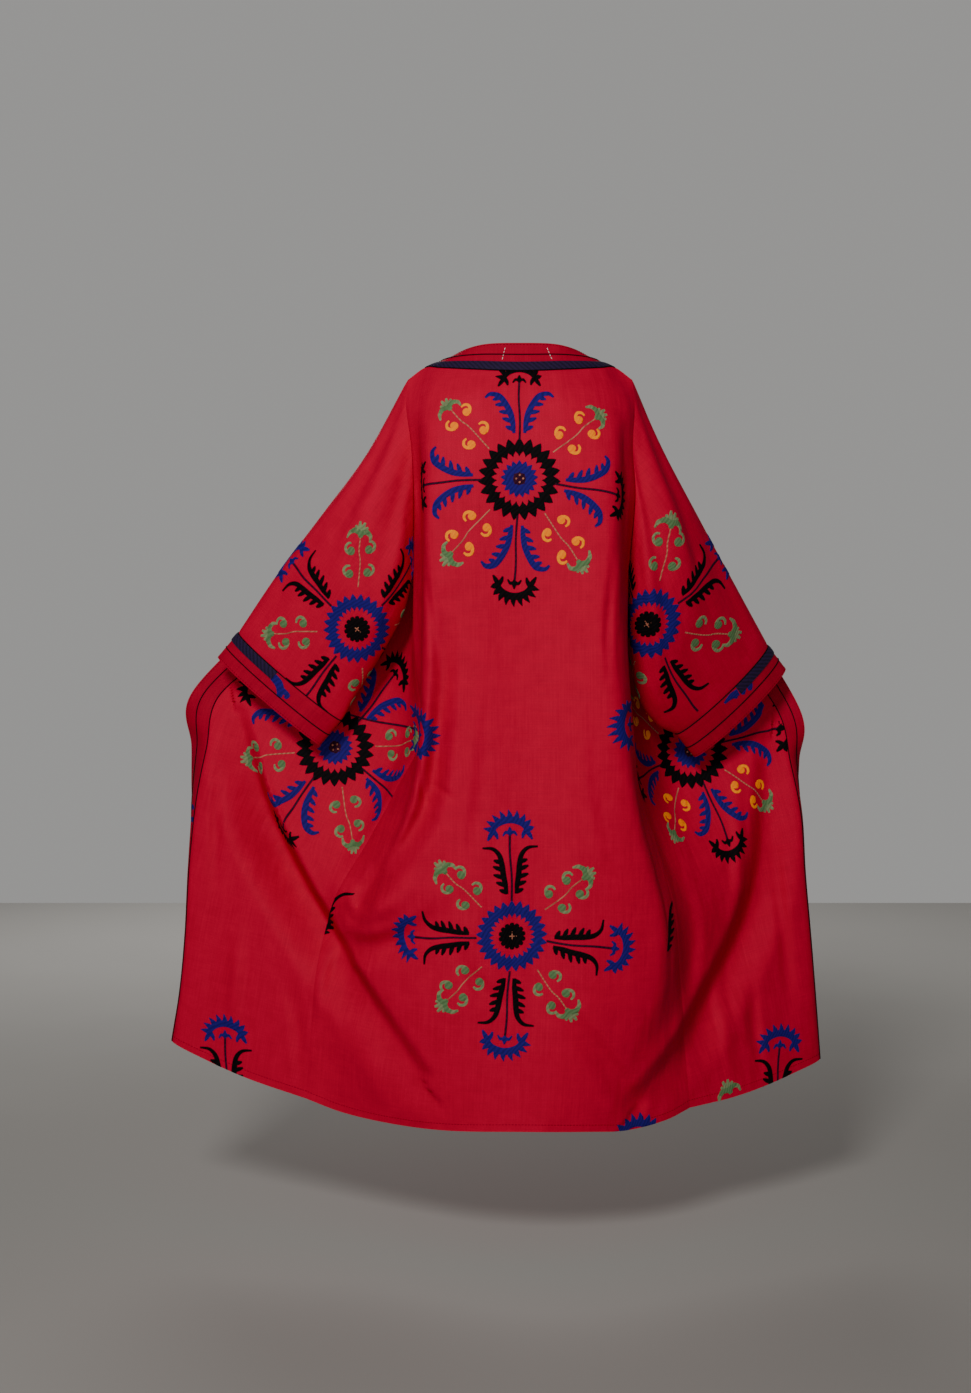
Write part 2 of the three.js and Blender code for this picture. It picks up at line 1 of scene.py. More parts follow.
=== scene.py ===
"""A long open robe of kimono cut with chain-stitched medallions, hanging as it is worn.

Tables in millimetres give the cloth's lines, row by row down the garment. Curves through them make
each panel's surface, folds are added where they lie, and each surface becomes a thin shell. The
embroidery is drawn in flat motifs and laid on the shells. +Z up, the wearer looks along -Y, and
the left side is on +X.
"""

import math
from functools import partial

import bpy
import numpy as np
from bpy.props import FloatProperty, PointerProperty, StringProperty
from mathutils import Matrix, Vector
from mathutils.bvhtree import BVHTree
from mathutils.geometry import delaunay_2d_cdt


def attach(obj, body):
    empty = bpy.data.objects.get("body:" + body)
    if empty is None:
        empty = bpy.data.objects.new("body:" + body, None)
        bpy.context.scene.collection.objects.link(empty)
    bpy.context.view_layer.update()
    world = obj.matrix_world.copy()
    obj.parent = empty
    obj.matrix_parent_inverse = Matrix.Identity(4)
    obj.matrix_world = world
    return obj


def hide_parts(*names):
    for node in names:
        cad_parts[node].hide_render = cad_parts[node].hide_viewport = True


bl_info = {
    "name": "Embroidered Robe",
    "version": (1, 0, 0),
    "blender": (4, 5, 0),
    "location": "View3D > Sidebar > Robe",
    "description": "Builds the cloth, bands, braids and embroidery of a long open robe",
    "category": "Object",
}

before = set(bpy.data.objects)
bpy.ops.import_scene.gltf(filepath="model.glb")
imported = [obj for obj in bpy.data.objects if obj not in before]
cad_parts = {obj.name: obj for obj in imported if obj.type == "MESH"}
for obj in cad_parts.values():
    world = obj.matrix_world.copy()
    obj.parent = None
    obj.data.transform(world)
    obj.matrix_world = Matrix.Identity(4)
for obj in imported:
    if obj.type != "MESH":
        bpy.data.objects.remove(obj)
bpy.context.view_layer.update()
MM = 0.001

# ---- how finely the cloth is made: steps to a level, to a column or across a whole piece ----
UNDERARM, HEM = 4, 12       # the levels at which the armhole and the cloth end
ARM_STEPS, SKIRT_STEPS = 16, 24
BODY_STEPS = 17
BAND_COLUMNS = 12
SLEEVE_ROWS = 84


def table(names, text):
    """Named columns of numbers, from a line of names and rows that commas or lines part."""
    rows = [row.split() for row in text.replace(",", "\n").splitlines() if row.strip()]
    return dict(zip(names.split(), np.array(rows, float).T))


def rows_of(columns):
    """A table's rows, each with its columns' names."""
    return [dict(zip(columns, row)) for row in zip(*columns.values())]


# ---- the cloth's lines, level by level, in millimetres ----
CENTRE_BACK = table("y z", """
    72 -43, 98 -92, 114 -160, 121 -250, 121 -380, 123 -520, 128 -660, 133 -795, 138 -900,
    144 -1005, 151 -1112, 159 -1225, 166 -1334""")
BACK_COLUMNS = "mid_x mid_y mid_z ridge_x ridge_y ridge_z valley_x valley_y valley_z"
FRONT_COLUMNS = ("inner_x inner_y middle_x middle_y turn_x turn_y outer_x outer_y "
                 "band_x band_y band_z edge_x edge_y edge_z sag")
# A sleeve's rings: the upper and the lower line, and how far a ring stands out behind and in front.
RING_COLUMNS = "top_x top_y top_z low_x low_y low_z back front"
LEFT = {
    "back": table(BACK_COLUMNS, """
    82 57 -39 138 29 -34 165 0 -31
    80 96 -90 146 70 -87 178 42 -94
    80 116 -160 153 102 -160 176 56 -164
    80 126 -250 155 116 -250 172 52 -254
    82 128 -380 156 122 -380 170 52 -382
    84 130 -520 158 122 -520 172 55 -520
    88 136 -660 162 122 -660 174 66 -660
    94 142 -793 180 120 -790 198 66 -778
    100 147 -900 212 112 -894 240 58 -878
    108 150 -1006 246 96 -1000 286 44 -982
    118 152 -1116 250 96 -1112 310 42 -1096
    122 148 -1231 240 96 -1234 316 38 -1220
    120 138 -1340 215 88 -1343 308 36 -1337"""),
    "arm_back": table("x y z", "195 -1 -52, 197 24 -100, 188 38 -168, 184 32 -258, 186 6 -384"),
    "arm_front": table("x y z", "195 -1 -52, 199 -38 -112, 198 -56 -190, 193 -44 -282, 186 6 -384"),
    "side": table("x y z", """
    186 6 -384, 186 18 -520, 172 30 -665, 214 8 -760, 268 0 -860, 327 -2 -962, 358 0 -1078,
    370 5 -1200, 380 8 -1318"""),
    "front": table(FRONT_COLUMNS, """
    189 -1 183 -1 177 -1 171 -1 165 0 -31 118 0 -12 0
    189 -60 180 -74 174 -82 169 -89 164 -95 -100 166 -145 -92 0
    160 -88 138 -104 140 -118 158 -128 186 -134 -195 236 -138 -165 0
    162 -88 150 -112 166 -130 205 -139 258 -144 -285 309 -146 -255 0
    172 -50 180 -96 215 -128 275 -142 345 -148 -400 395 -148 -365 0
    190 -36 218 -88 280 -123 355 -140 438 -144 -520 487 -140 -488 0
    212 -50 310 -82 430 -92 500 -100 543 -115 -612 596 -120 -612 -12
    252 -46 345 -66 440 -66 515 -80 564 -102 -705 598 -150 -705 -14
    300 -26 362 -42 440 -54 520 -74 583 -99 -800 599 -155 -800 -6
    350 -14 395 -28 450 -48 525 -72 596 -95 -915 592 -155 -915 0
    385 -12 425 -28 472 -46 540 -70 604 -92 -1040 596 -152 -1040 0
    400 -8 440 -24 487 -42 552 -68 615 -93 -1145 604 -153 -1145 0
    410 -6 450 -22 497 -40 563 -65 631 -95 -1240 618 -154 -1240 -9"""),
    "sleeve": table(RING_COLUMNS, """
    195 -1 -52 186 6 -384 42 52
    268 -9 -181 201 2 -450 60 60
    345 -26 -283 236 -8 -520 56 54
    425 -47 -386 280 -18 -588 42 42
    500 -71 -493 314 -26 -647 30 30"""),
    "cuff": table(RING_COLUMNS, """
    500 -71 -493 314 -26 -647 30 30
    539 -80 -538 353 -32 -692 28 28"""),
}
RIGHT = {
    "back": table(BACK_COLUMNS, """
    -82 57 -39 -138 29 -34 -165 0 -31
    -80 96 -90 -146 68 -87 -180 46 -94
    -80 116 -160 -153 100 -160 -178 66 -164
    -80 126 -250 -155 116 -250 -180 70 -254
    -82 128 -380 -152 126 -380 -178 80 -382
    -84 131 -520 -150 132 -520 -180 92 -520
    -88 137 -660 -166 134 -660 -192 92 -662
    -93 142 -793 -188 128 -793 -206 84 -788
    -98 147 -901 -214 116 -900 -234 76 -892
    -105 151 -1007 -232 114 -1006 -258 78 -996
    -114 153 -1116 -224 118 -1120 -264 76 -1110
    -114 151 -1231 -208 116 -1238 -268 66 -1230
    -108 145 -1340 -188 114 -1346 -252 72 -1341"""),
    "arm_back": table("x y z", """
    -195 -1 -52, -198 26 -100, -194 42 -168, -198 40 -258, -190 6 -384"""),
    "arm_front": table("x y z", """
    -195 -1 -52, -199 -38 -112, -198 -56 -190, -195 -44 -282, -190 6 -384"""),
    "side": table("x y z", """
    -190 6 -384, -188 24 -520, -199 30 -665, -208 36 -768, -238 42 -862, -269 48 -970,
    -282 40 -1088, -292 32 -1208, -301 30 -1329"""),
    "front": table(FRONT_COLUMNS, """
    -189 -1 -183 -1 -177 -1 -171 -1 -165 0 -31 -118 0 -12 0
    -191 -60 -183 -78 -177 -90 -171 -100 -166 -108 -100 -167 -158 -92 0
    -160 -96 -138 -122 -142 -142 -162 -158 -188 -168 -195 -234 -180 -165 0
    -160 -104 -149 -142 -165 -170 -203 -188 -248 -200 -285 -295 -208 -255 0
    -170 -64 -172 -124 -204 -176 -262 -203 -327 -218 -400 -368 -230 -365 0
    -172 -46 -184 -124 -240 -188 -318 -217 -398 -234 -520 -436 -240 -490 0
    -200 -66 -262 -160 -385 -192 -440 -194 -482 -196 -648 -524 -194 -648 -8
    -222 -50 -275 -142 -395 -160 -455 -172 -503 -180 -738 -525 -218 -738 -8
    -252 -20 -305 -90 -395 -122 -462 -146 -521 -164 -835 -522 -222 -835 0
    -290 6 -330 -42 -398 -92 -465 -128 -528 -157 -942 -523 -216 -942 0
    -306 -2 -345 -42 -405 -86 -472 -124 -539 -150 -1064 -530 -210 -1064 0
    -322 -4 -364 -38 -422 -76 -485 -112 -549 -145 -1182 -540 -204 -1182 0
    -335 10 -378 -14 -432 -50 -495 -94 -557 -140 -1284 -547 -199 -1284 -9"""),
    "sleeve": table(RING_COLUMNS, """
    -195 -1 -52 -190 6 -384 42 52
    -257 -28 -188 -196 -12 -500 62 58
    -321 -64 -300 -214 -48 -608 60 52
    -390 -104 -415 -246 -76 -658 46 40
    -452 -140 -519 -282 -92 -677 30 30"""),
    "cuff": table(RING_COLUMNS, """
    -452 -140 -519 -282 -92 -677 30 30
    -488 -160 -563 -318 -112 -721 28 28"""),
}
HALVES = {"left": LEFT, "right": RIGHT}
NECK_EDGE = table("x y z", "118 0 -12, 92 25 -1, 56 40 6, 0 46 7, -56 40 6, -92 25 -1, -118 0 -12")
NECK_COLUMN = 1             # the back's column at which the neck band ends on the shoulder

# A fold is a line of four points seen from behind, how far the cloth stands out along it (a
# trough is less than nothing), and how wide it is on its +X and -X sides.
FOLD_COLUMNS = "x0 z0 x1 z1 x2 z2 x3 z3 start middle end plus minus"
MAIN_FOLDS = table(FOLD_COLUMNS, """
    508 -645 450 -830 350 -1010 175 -1245 -12 -66 -16 88 28
    129 -431 136 -620 168 -800 275 -955 -4 -28 -16 26 34
    345 -985 300 -1035 215 -1020 112 -947 -6 -20 -2 40 34
    345 -905 290 -960 225 -950 165 -890 0 12 0 34 34
    -467 -705 -436 -967 -330 -1166 -208 -1299 -12 -40 -12 38 78
    -77 -1136 -120 -1185 -164 -1248 -201 -1303 -4 -12 -10 40 30
    -232 -820 -296 -985 -290 -1110 -196 -1235 -4 -16 -2 44 34""")
CREASES = table(FOLD_COLUMNS, """
    168 -330 160 -400 150 -470 141 -540 0 -5.1 -1 14 10
    -160 -330 -150 -420 -146 -500 -150 -590 0 -5.1 0 12 14
    60 -600 64 -700 74 -800 92 -900 0 -4.25 0 22 26
    20 -760 24 -880 34 -1000 40 -1120 0 5.1 0 26 30
    -30 -820 -28 -940 -22 -1060 -22 -1200 0 -5.1 0 24 30
    -96 -560 -104 -680 -118 -800 -140 -900 0 4.25 0 18 22
    176 -700 170 -745 166 -760 160 -790 0 -6.8 0 12 9
    158 -745 140 -752 126 -760 112 -772 0 -5.1 0 9 9
    118 -1010 90 -1060 60 -1100 20 -1130 0 -6.8 0 20 24
    300 -985 330 -1040 352 -1110 360 -1180 0 8.5 0 24 20
    420 -1090 400 -1160 392 -1220 388 -1290 0 -6.8 -2 22 26
    500 -1000 505 -1080 512 -1160 520 -1240 0 6.8 1 24 22
    470 -700 455 -760 430 -820 400 -870 0 8.5 0 18 14
    540 -720 545 -800 548 -880 552 -960 0 -6.8 0 16 20
    -395 -760 -400 -850 -398 -940 -380 -1040 0 8.5 0 22 18
    -470 -880 -480 -980 -490 -1080 -500 -1180 0 -6.8 -1 20 20
    -355 -1090 -360 -1150 -372 -1210 -380 -1290 0 6.8 1 20 22
    -430 -1110 -425 -1170 -430 -1230 -436 -1290 0 -6.8 -2 22 18""")
FOLD_STEPS = 12
# Sleeve creases: from and to are shares of the way to the cuff, turns go round in degrees from
# the upper line, first behind; depth and width are in millimetres.
SLEEVE_CREASES = table("from turn0 to turn1 depth width", """
    0.02 30 0.50 52 -7 26
    0.05 62 0.62 84 6 24
    0.00 96 0.44 112 -6 22
    0.10 128 0.58 138 5 18
    0.40 34 0.95 44 -4 22
    0.55 100 1.00 108 -3 20
    0.05 210 0.60 228 6 26
    0.02 262 0.66 270 -6 28
    0.20 318 0.80 322 5 26""")


# ---- curves and folds ----
def spline(knots, t):
    """Points of a smooth curve through the knots at places t: knot 0 at 0, knot 1 at 1."""
    knots, t = np.asarray(knots, float), np.asarray(t, float)
    around = np.concatenate([2 * knots[:1] - knots[1:2], knots, 2 * knots[-1:] - knots[-2:-1]])
    k = np.clip(np.floor(t).astype(int), 0, len(knots) - 2)
    u = (t - k).reshape(t.shape + (1,) * (knots.ndim - 1))
    a, b, c, d = (around[k + i] for i in range(4))
    return ((2 * u**3 - 3 * u**2 + 1) * b + (u**3 - 2 * u**2 + u) * (c - a) / 2
            + (3 * u**2 - 2 * u**3) * c + (u**3 - u**2) * (d - b) / 2)


def columns_at(rows, t):
    """A table's columns at places t down it."""
    return {name: spline(values, t) for name, values in rows.items()}


def point_of(row, name=""):
    return np.stack([row[name + axis] for axis in "xyz"], -1)


def line_at(rows, t):
    return point_of(columns_at(rows, t))


def steps(start, end, per_unit):
    return np.linspace(start, end, round((end - start) * per_unit) + 1)


ARM_LEVELS = steps(0, UNDERARM, ARM_STEPS)
LEVELS = np.concatenate([ARM_LEVELS, steps(UNDERARM, HEM, SKIRT_STEPS)[1:]])


def fold_depth(x, z, fold):
    """How far one fold moves the cloth at x, z; it falls softly to nothing on either side."""
    share = np.arange(FOLD_STEPS + 1) / FOLD_STEPS
    line = spline([[fold[f"x{i}"], fold[f"z{i}"]] for i in range(4)], share * 3)
    depth = spline([fold["start"], fold["middle"], fold["end"]], share * 2)
    nearest, shift = np.full(x.shape, np.inf), np.zeros(x.shape)
    for i, run in enumerate(np.diff(line, axis=0)):
        off_x, off_z = x - line[i, 0], z - line[i, 1]
        t = np.clip((off_x * run[0] + off_z * run[1]) / (run @ run), 0, 1)
        distance = np.hypot(off_x - run[0] * t, off_z - run[1] * t)
        width = np.where(run[0] * off_z - run[1] * off_x > 0, fold["plus"], fold["minus"])
        here = depth[i] + (depth[i + 1] - depth[i]) * t
        wave = here * (1 + np.cos(np.pi * np.minimum(distance / width, 1))) / 2
        shift = np.where(distance < nearest, wave, shift)
        nearest = np.minimum(nearest, distance)
    return shift


def folded(grid):
    """A grid of cloth points with the folds and creases in it."""
    x, z = grid[..., 0], grid[..., 2]
    shift = sum(fold_depth(x, z, fold) for fold in rows_of(MAIN_FOLDS) + rows_of(CREASES))
    return grid + shift[..., None] * np.array([0, 1, 0])


# ---- the panels, as grids of points: down the levels, across from +X to -X ----
def seam_at(half, arm, levels):
    """The line where a panel meets the sleeve and, below it, the other panel."""
    above = line_at(half[arm], np.minimum(levels, UNDERARM))
    below = line_at(half["side"], np.maximum(levels - UNDERARM, 0))
    return np.where((levels <= UNDERARM)[:, None], above, below)


def half_back(half, levels):
    """The back's lines from the middle towards a side seam."""
    row = columns_at(half["back"], levels)
    lines = [point_of(row, name) for name in ("mid_", "ridge_", "valley_")]
    return lines + [seam_at(half, "arm_back", levels)]


def back_lines(levels):
    centre = columns_at(CENTRE_BACK, levels)
    middle = np.stack([np.zeros(len(levels)), centre["y"], centre["z"]], -1)
    return np.stack([*half_back(LEFT, levels)[::-1], middle, *half_back(RIGHT, levels)])


def across(lines, columns):
    """A grid from lines that run down the cloth, at places across them."""
    return spline(lines, columns).transpose(1, 0, 2)


def front_lines(half, levels):
    """A front's lines from the side seam to the free edge. Height runs evenly along the cloth
    from the seam to the band, with the row's sag in the middle."""
    row = columns_at(half["front"], levels)
    seam = seam_at(half, "arm_front", levels)
    names = ("inner", "middle", "turn", "outer", "band")
    flat = np.stack([seam[:, :2]] + [np.stack([row[n + "_x"], row[n + "_y"]], -1) for n in names])
    along = lengths(flat, 0)
    share = along / along[-1]
    height = seam[:, 2] + (row["band_z"] - seam[:, 2]) * share + row["sag"] * np.sin(np.pi * share)
    lines = np.concatenate([flat, height[..., None]], axis=2)
    return np.concatenate([lines, point_of(row, "edge_")[None]])


BACK_SEAM = 8               # a back's last line; its first is the other side seam
FRONT_BAND = 5              # a front's lines: seam, inner, middle, turn, outer, band


def back_grid():
    return folded(across(back_lines(LEVELS), steps(0, BACK_SEAM, BODY_STEPS)))


def front_grid(half):
    columns = steps(0, FRONT_BAND, BODY_STEPS)
    grid = across(front_lines(half, LEVELS), columns)
    shoulder = spline(np.stack(half_back(half, np.zeros(1))[::-1])[:, 0], columns / FRONT_BAND)
    fade = np.clip(1 - 2 * LEVELS, 0, 1)[:, None, None]
    return oriented(folded(grid + (shoulder - grid[0]) * fade), half)


def front_band_grid(half):
    columns = np.linspace(FRONT_BAND, FRONT_BAND + 1, BAND_COLUMNS + 1)
    return oriented(folded(across(front_lines(half, LEVELS), columns)), half)


def oriented(grid, half):
    """The left front's columns run towards its free edge on +X, so they are turned round."""
    return grid[:, ::-1] if half is LEFT else grid


def neck_band_grid():
    columns = steps(NECK_COLUMN, BACK_SEAM - NECK_COLUMN, BODY_STEPS)
    seam = spline(back_lines(np.zeros(1))[:, 0], columns)
    edge = line_at(NECK_EDGE, columns - NECK_COLUMN)
    return seam + (edge - seam) * np.linspace(1, 0, BAND_COLUMNS + 1)[:, None, None]


# ---- the sleeves, as grids round a tube: down the rows towards the cuff ----
TURNS = np.arange(2 * (len(ARM_LEVELS) - 1)) * math.pi / (len(ARM_LEVELS) - 1)
RING_REACH = 0.05           # rows each way, to find how a sleeve runs


def ring(rows, places):
    """Rings of a sleeve. Each starts at the upper line and goes behind first."""
    row, before, after = (columns_at(rows, np.clip(places + reach, 0, len(rows["back"]) - 1))
                          for reach in (0, -RING_REACH, RING_REACH))
    top, low = point_of(row, "top_"), point_of(row, "low_")
    along = (point_of(after, "top_") + point_of(after, "low_")
             - point_of(before, "top_") - point_of(before, "low_"))
    out = np.cross(along, low - top)
    out *= np.sign(out[:, 1:2]) / np.linalg.norm(out, axis=1, keepdims=True)
    swell = np.where(TURNS < math.pi, row["back"][:, None], row["front"][:, None])
    depth = (np.sin(TURNS) * swell)[..., None] * out[:, None]
    down = ((1 - np.cos(TURNS)) / 2)[None, :, None]
    return top[:, None] + (low - top)[:, None] * down + depth


def sleeve_grid(half):
    """A sleeve from the armhole, which it leaves softly, to the cuff band."""
    share = np.linspace(0, 1, SLEEVE_ROWS + 1)
    grid = ring(half["sleeve"], share * (len(half["sleeve"]["back"]) - 1))
    behind, before = (line_at(half[arm], ARM_LEVELS) for arm in ("arm_back", "arm_front"))
    armhole = np.concatenate([behind, before[1:-1][::-1]])
    grid = grid + (armhole - grid[0]) * ((1 - share) ** 4)[:, None, None]
    return around(creased(grid), half)


def creased(grid):
    """The sleeve's own creases, pressed in along its normals."""
    normals = grid_normals(grid, True)
    share = np.linspace(0, 1, len(grid))[:, None]
    push = np.zeros(grid.shape[:2])
    for c in rows_of(SLEEVE_CREASES):
        t = np.clip((share - c["from"]) / (c["to"] - c["from"]), 0, 1)
        side = (np.degrees(TURNS) - c["turn0"] - (c["turn1"] - c["turn0"]) * t) / c["width"]
        push += (c["depth"] * np.sin(np.pi * t) ** 0.7
                 * (1 + np.cos(np.pi * np.clip(side, -1, 1))) / 2)
    out = np.sign(np.mean(np.sum((grid - grid.mean(axis=1, keepdims=True)) * normals, axis=2)))
    return grid + push[..., None] * normals * out


def cuff_grid(half):
    share = np.linspace(0, 1, BAND_COLUMNS + 1)
    seam = ring(half["sleeve"], np.array([len(half["sleeve"]["back"]) - 1.0]))[0]
    grid = ring(half["cuff"], share)
    return around(grid + (seam - grid[0]) * (1 - share)[:, None, None], half)


UPPER_LINE = {"left": 0.25, "right": 0.75}  # share of the way round at which the upper line lies


def around(grid, half):
    """A ring that starts at the front, with its columns to the right as seen from behind."""
    quarter = grid.shape[1] // 4
    if half is LEFT:
        return np.roll(grid, quarter, axis=1)
    return np.roll(np.concatenate([grid[:, :1], grid[:, :0:-1]], axis=1), -quarter, axis=1)


# ---- from grids to shells ----
def grid_normals(grid, closed):
    """Normals on the side that shows when the rows go down and the columns go right."""
    if closed:
        over = np.roll(grid, -1, axis=1) - np.roll(grid, 1, axis=1)
    else:
        over = np.gradient(grid, axis=1)
    normals = np.cross(np.gradient(grid, axis=0), over)
    return normals / np.maximum(np.linalg.norm(normals, axis=2, keepdims=True), 1e-9)


def lengths(grid, axis):
    """Distance along a grid's lines from their start, at each point."""
    run = np.linalg.norm(np.diff(grid, axis=axis), axis=2)
    return np.concatenate([np.zeros_like(run.take([0], axis)), np.cumsum(run, axis)], axis)


def rolled(grid, closed, seams):
    """Sinks the cloth towards the edges that are seams, as stitching pulls it in."""
    size = sizes()
    down, over = lengths(grid, 0), lengths(grid, 1)
    away = {"top": down, "bottom": down[-1:] - down, "first": over, "last": over[:, -1:] - over}
    sink = sum(np.exp(-(away[seam] / (size.seam_reach / MM)) ** 2) for seam in seams)
    depth = np.minimum(sink, 1)[..., None] * (size.seam_sink / MM)
    return grid - depth * grid_normals(grid, closed)


def sampled(grid, u, v):
    """A grid's values at real places down and across it."""
    return spline(spline(grid, u).swapaxes(0, 1), v).swapaxes(0, 1)


def looped(grid, closed):
    return np.concatenate([grid, grid[:, :1]], axis=1) if closed else grid


PATTERN_SHAPE = (44, 26)    # the flat pattern is worked out on a coarser grid of this size
PATTERN_ROUNDS = 1500


def flatten(grid, straight=0):
    """The cloth's flat pattern: each point's place in a plane, in millimetres, where the cloth
    keeps its lengths. Springs along and across a coarse grid pull a first guess into shape, which
    has one row straight, the first (0) or the last (-1)."""
    u, v = (np.linspace(0, n - 1, count) for n, count in zip(grid.shape, PATTERN_SHAPE))
    coarse = sampled(grid, u, v)
    down, over = (sampled(lengths(grid, axis)[..., None], u, v)[..., 0] for axis in (0, 1))
    flat = np.stack([over - over[:, len(v) // 2][:, None], down[straight] - down], -1)
    for _ in range(PATTERN_ROUNDS):
        flat = flat + pull(flat, coarse, over, down)
    return sampled(flat, *(np.arange(n) / (n - 1) * (count - 1)
                           for n, count in zip(grid.shape, PATTERN_SHAPE)))


ALL, FORE, AFT = slice(None), slice(None, -1), slice(1, None)


def pull(flat, coarse, over, down):
    """One round of springs: half of what each spring is too long or too short, shared out."""
    across_run, down_run = np.diff(over, axis=1), np.diff(down, axis=0)
    h = (across_run[:-1] + across_run[1:]) / 2
    k = (down_run[:, :-1] + down_run[:, 1:]) / 2
    side = coarse[:-1, 1:] - coarse[:-1, :-1]
    fall = coarse[1:, :-1] - coarse[:-1, :-1]
    slant = np.sum(side * fall, 2) / np.linalg.norm(side, axis=2) / np.linalg.norm(fall, axis=2)
    springs = (
        ((ALL, FORE), (ALL, AFT), across_run),
        ((FORE, ALL), (AFT, ALL), down_run),
        ((FORE, FORE), (AFT, AFT), np.sqrt(h * h + k * k + 2 * h * k * slant)),
        ((FORE, AFT), (AFT, FORE), np.sqrt(h * h + k * k - 2 * h * k * slant)))
    move = np.zeros_like(flat)
    for here, there, rest in springs:
        gap = flat[there] - flat[here]
        length = np.linalg.norm(gap, axis=2)
        push = gap * ((length - rest) / length / 8)[..., None]
        move[here] += push
        move[there] -= push
    return move


def cross2(a, b):
    return a[..., 0] * b[..., 1] - a[..., 1] * b[..., 0]


FAR = 2000                  # millimetres, well behind the robe


class Surface:
    """A panel's outer face: its points, their normals and the flat pattern that it is cut to."""

    def __init__(self, grid, closed, straight):
        self.grid = looped(grid, closed)
        self.grid_normals = looped(grid_normals(grid, closed), closed)
        self.flat = flatten(self.grid, straight)
        self.points, self.normals = self.grid.reshape(-1, 3), self.grid_normals.reshape(-1, 3)
        self.places = self.flat.reshape(-1, 2)
        rows, columns = self.grid.shape[:2]
        i, j = np.meshgrid(np.arange(rows - 1), np.arange(columns - 1), indexing="ij")
        a = (i * columns + j).ravel()
        b, c, d = a + columns, a + columns + 1, a + 1
        self.faces = np.concatenate([np.stack([a, b, c], -1), np.stack([a, c, d], -1)])
        self.form, self.pattern = (
            BVHTree.FromPolygons(points.tolist(), self.faces.tolist())
            for points in (self.points, np.pad(self.places, ((0, 0), (0, 1)))))

    def patch_at(self, down, over, lift):
        """Points above a grid of places at shares of the way down and across."""
        u, v = (np.atleast_1d(share) * (n - 1) for share, n in zip((down, over), self.grid.shape))
        return sampled(self.grid, u, v) + sampled(self.grid_normals, u, v) * lift

    def shares(self, corners, at):
        """How much each corner of each triangle counts at a place in it."""
        a, b, c = corners.transpose(1, 0, 2)
        area = cross2(b - a, c - a)
        second, third = cross2(at - a, c - a) / area, cross2(b - a, at - a) / area
        return np.stack([1 - second - third, second, third], -1)[..., None]

    def from_behind(self, x, z):
        """The place in the pattern of what shows at x, z from behind, if the panel is there."""
        hit, _, face, _ = self.form.ray_cast((x, FAR, z), (0, -1, 0))
        if hit is None:
            return None
        corners = self.faces[face]
        share = self.shares(self.points[corners][None][..., [0, 2]], np.array([[x, z]]))[0]
        return (self.places[corners] * share).sum(0)

    def on_cloth(self, at):
        """Points and normals on the cloth for places in the pattern, and whether each is on it.
        A place past an edge goes to the edge."""
        found = [self.pattern.find_nearest((x, y, 0)) for x, y in at]
        corners = self.faces[[face for _, _, face, _ in found]]
        share = self.shares(self.places[corners], np.array([hit[:2] for hit, *_ in found]))
        points, normals = ((values[corners] * share).sum(1)
                           for values in (self.points, self.normals))
        normals /= np.linalg.norm(normals, axis=1, keepdims=True)
        return points, normals, np.array([gap for *_, gap in found]) < 0.01


def shell(name, grid, thickness, flat, closed=False):
    """A thin closed shell on a grid, with its flat pattern in metres as its UV map."""
    rows, columns = grid.shape[:2]
    inner = grid - grid_normals(grid, closed) * thickness
    count = rows * columns
    i, j = np.meshgrid(np.arange(rows - 1), np.arange(columns if closed else columns - 1),
                       indexing="ij")
    i, j = i.ravel(), j.ravel()
    right = (j + 1) % columns
    outer = np.stack([i * columns + j, (i + 1) * columns + j,
                      (i + 1) * columns + right, i * columns + right], -1)
    uv = flat * MM
    corners = np.stack([uv[i, j], uv[i + 1, j], uv[i + 1, j + 1], uv[i, j + 1]], 1)
    faces, maps = [outer, outer[:, ::-1] + count], [corners, corners[:, ::-1]]
    for edge, edge_uv in rims(rows, columns, closed, uv):
        ahead, behind = edge[:-1], edge[1:]
        faces.append(np.stack([ahead, ahead + count, behind + count, behind], -1))
        maps.append(np.stack([edge_uv[:-1], edge_uv[:-1], edge_uv[1:], edge_uv[1:]], 1))
    vertices = np.concatenate([grid.reshape(-1, 3), inner.reshape(-1, 3)]) * MM
    return mesh_object(name, vertices, np.concatenate(faces).tolist(), np.concatenate(maps))


def rims(rows, columns, closed, uv):
    """The outer vertices along each free edge, in the order that faces them outwards."""
    along = np.arange(columns + 1) % columns if closed else np.arange(columns)
    yield along[::-1], uv[0, :len(along)][::-1]
    yield (rows - 1) * columns + along, uv[-1, :len(along)]
    if not closed:
        down = np.arange(rows) * columns
        yield down, uv[:, 0]
        yield (down + columns - 1)[::-1], uv[::-1, -1]


def mesh_object(name, vertices, faces, corner_uv=None):
    mesh = bpy.data.meshes.new(name)
    mesh.from_pydata([tuple(v) for v in vertices], [], [tuple(f) for f in faces])
    if corner_uv is not None:
        layer = mesh.uv_layers.new(name="cloth")
        layer.data.foreach_set("uv", np.asarray(corner_uv, np.float32).ravel())
    mesh.polygons.foreach_set("use_smooth", np.ones(len(mesh.polygons), bool))
    mesh.set_sharp_from_angle(angle=math.radians(50))
    return linked(name, mesh)


def linked(name, data):
    """A new object in the scene."""
    made = bpy.data.objects.new(name, data)
    bpy.context.scene.collection.objects.link(made)
    return made


# ---- materials ----
def linear(hex_colour):
    """An sRGB hex colour as linear RGBA."""
    value = int(hex_colour.lstrip("#"), 16)
    parts = [(value >> shift & 255) / 255 for shift in (16, 8, 0)]
    return tuple(p / 12.92 if p <= 0.04045 else ((p + 0.055) / 1.055) ** 2.4 for p in parts) + (1,)


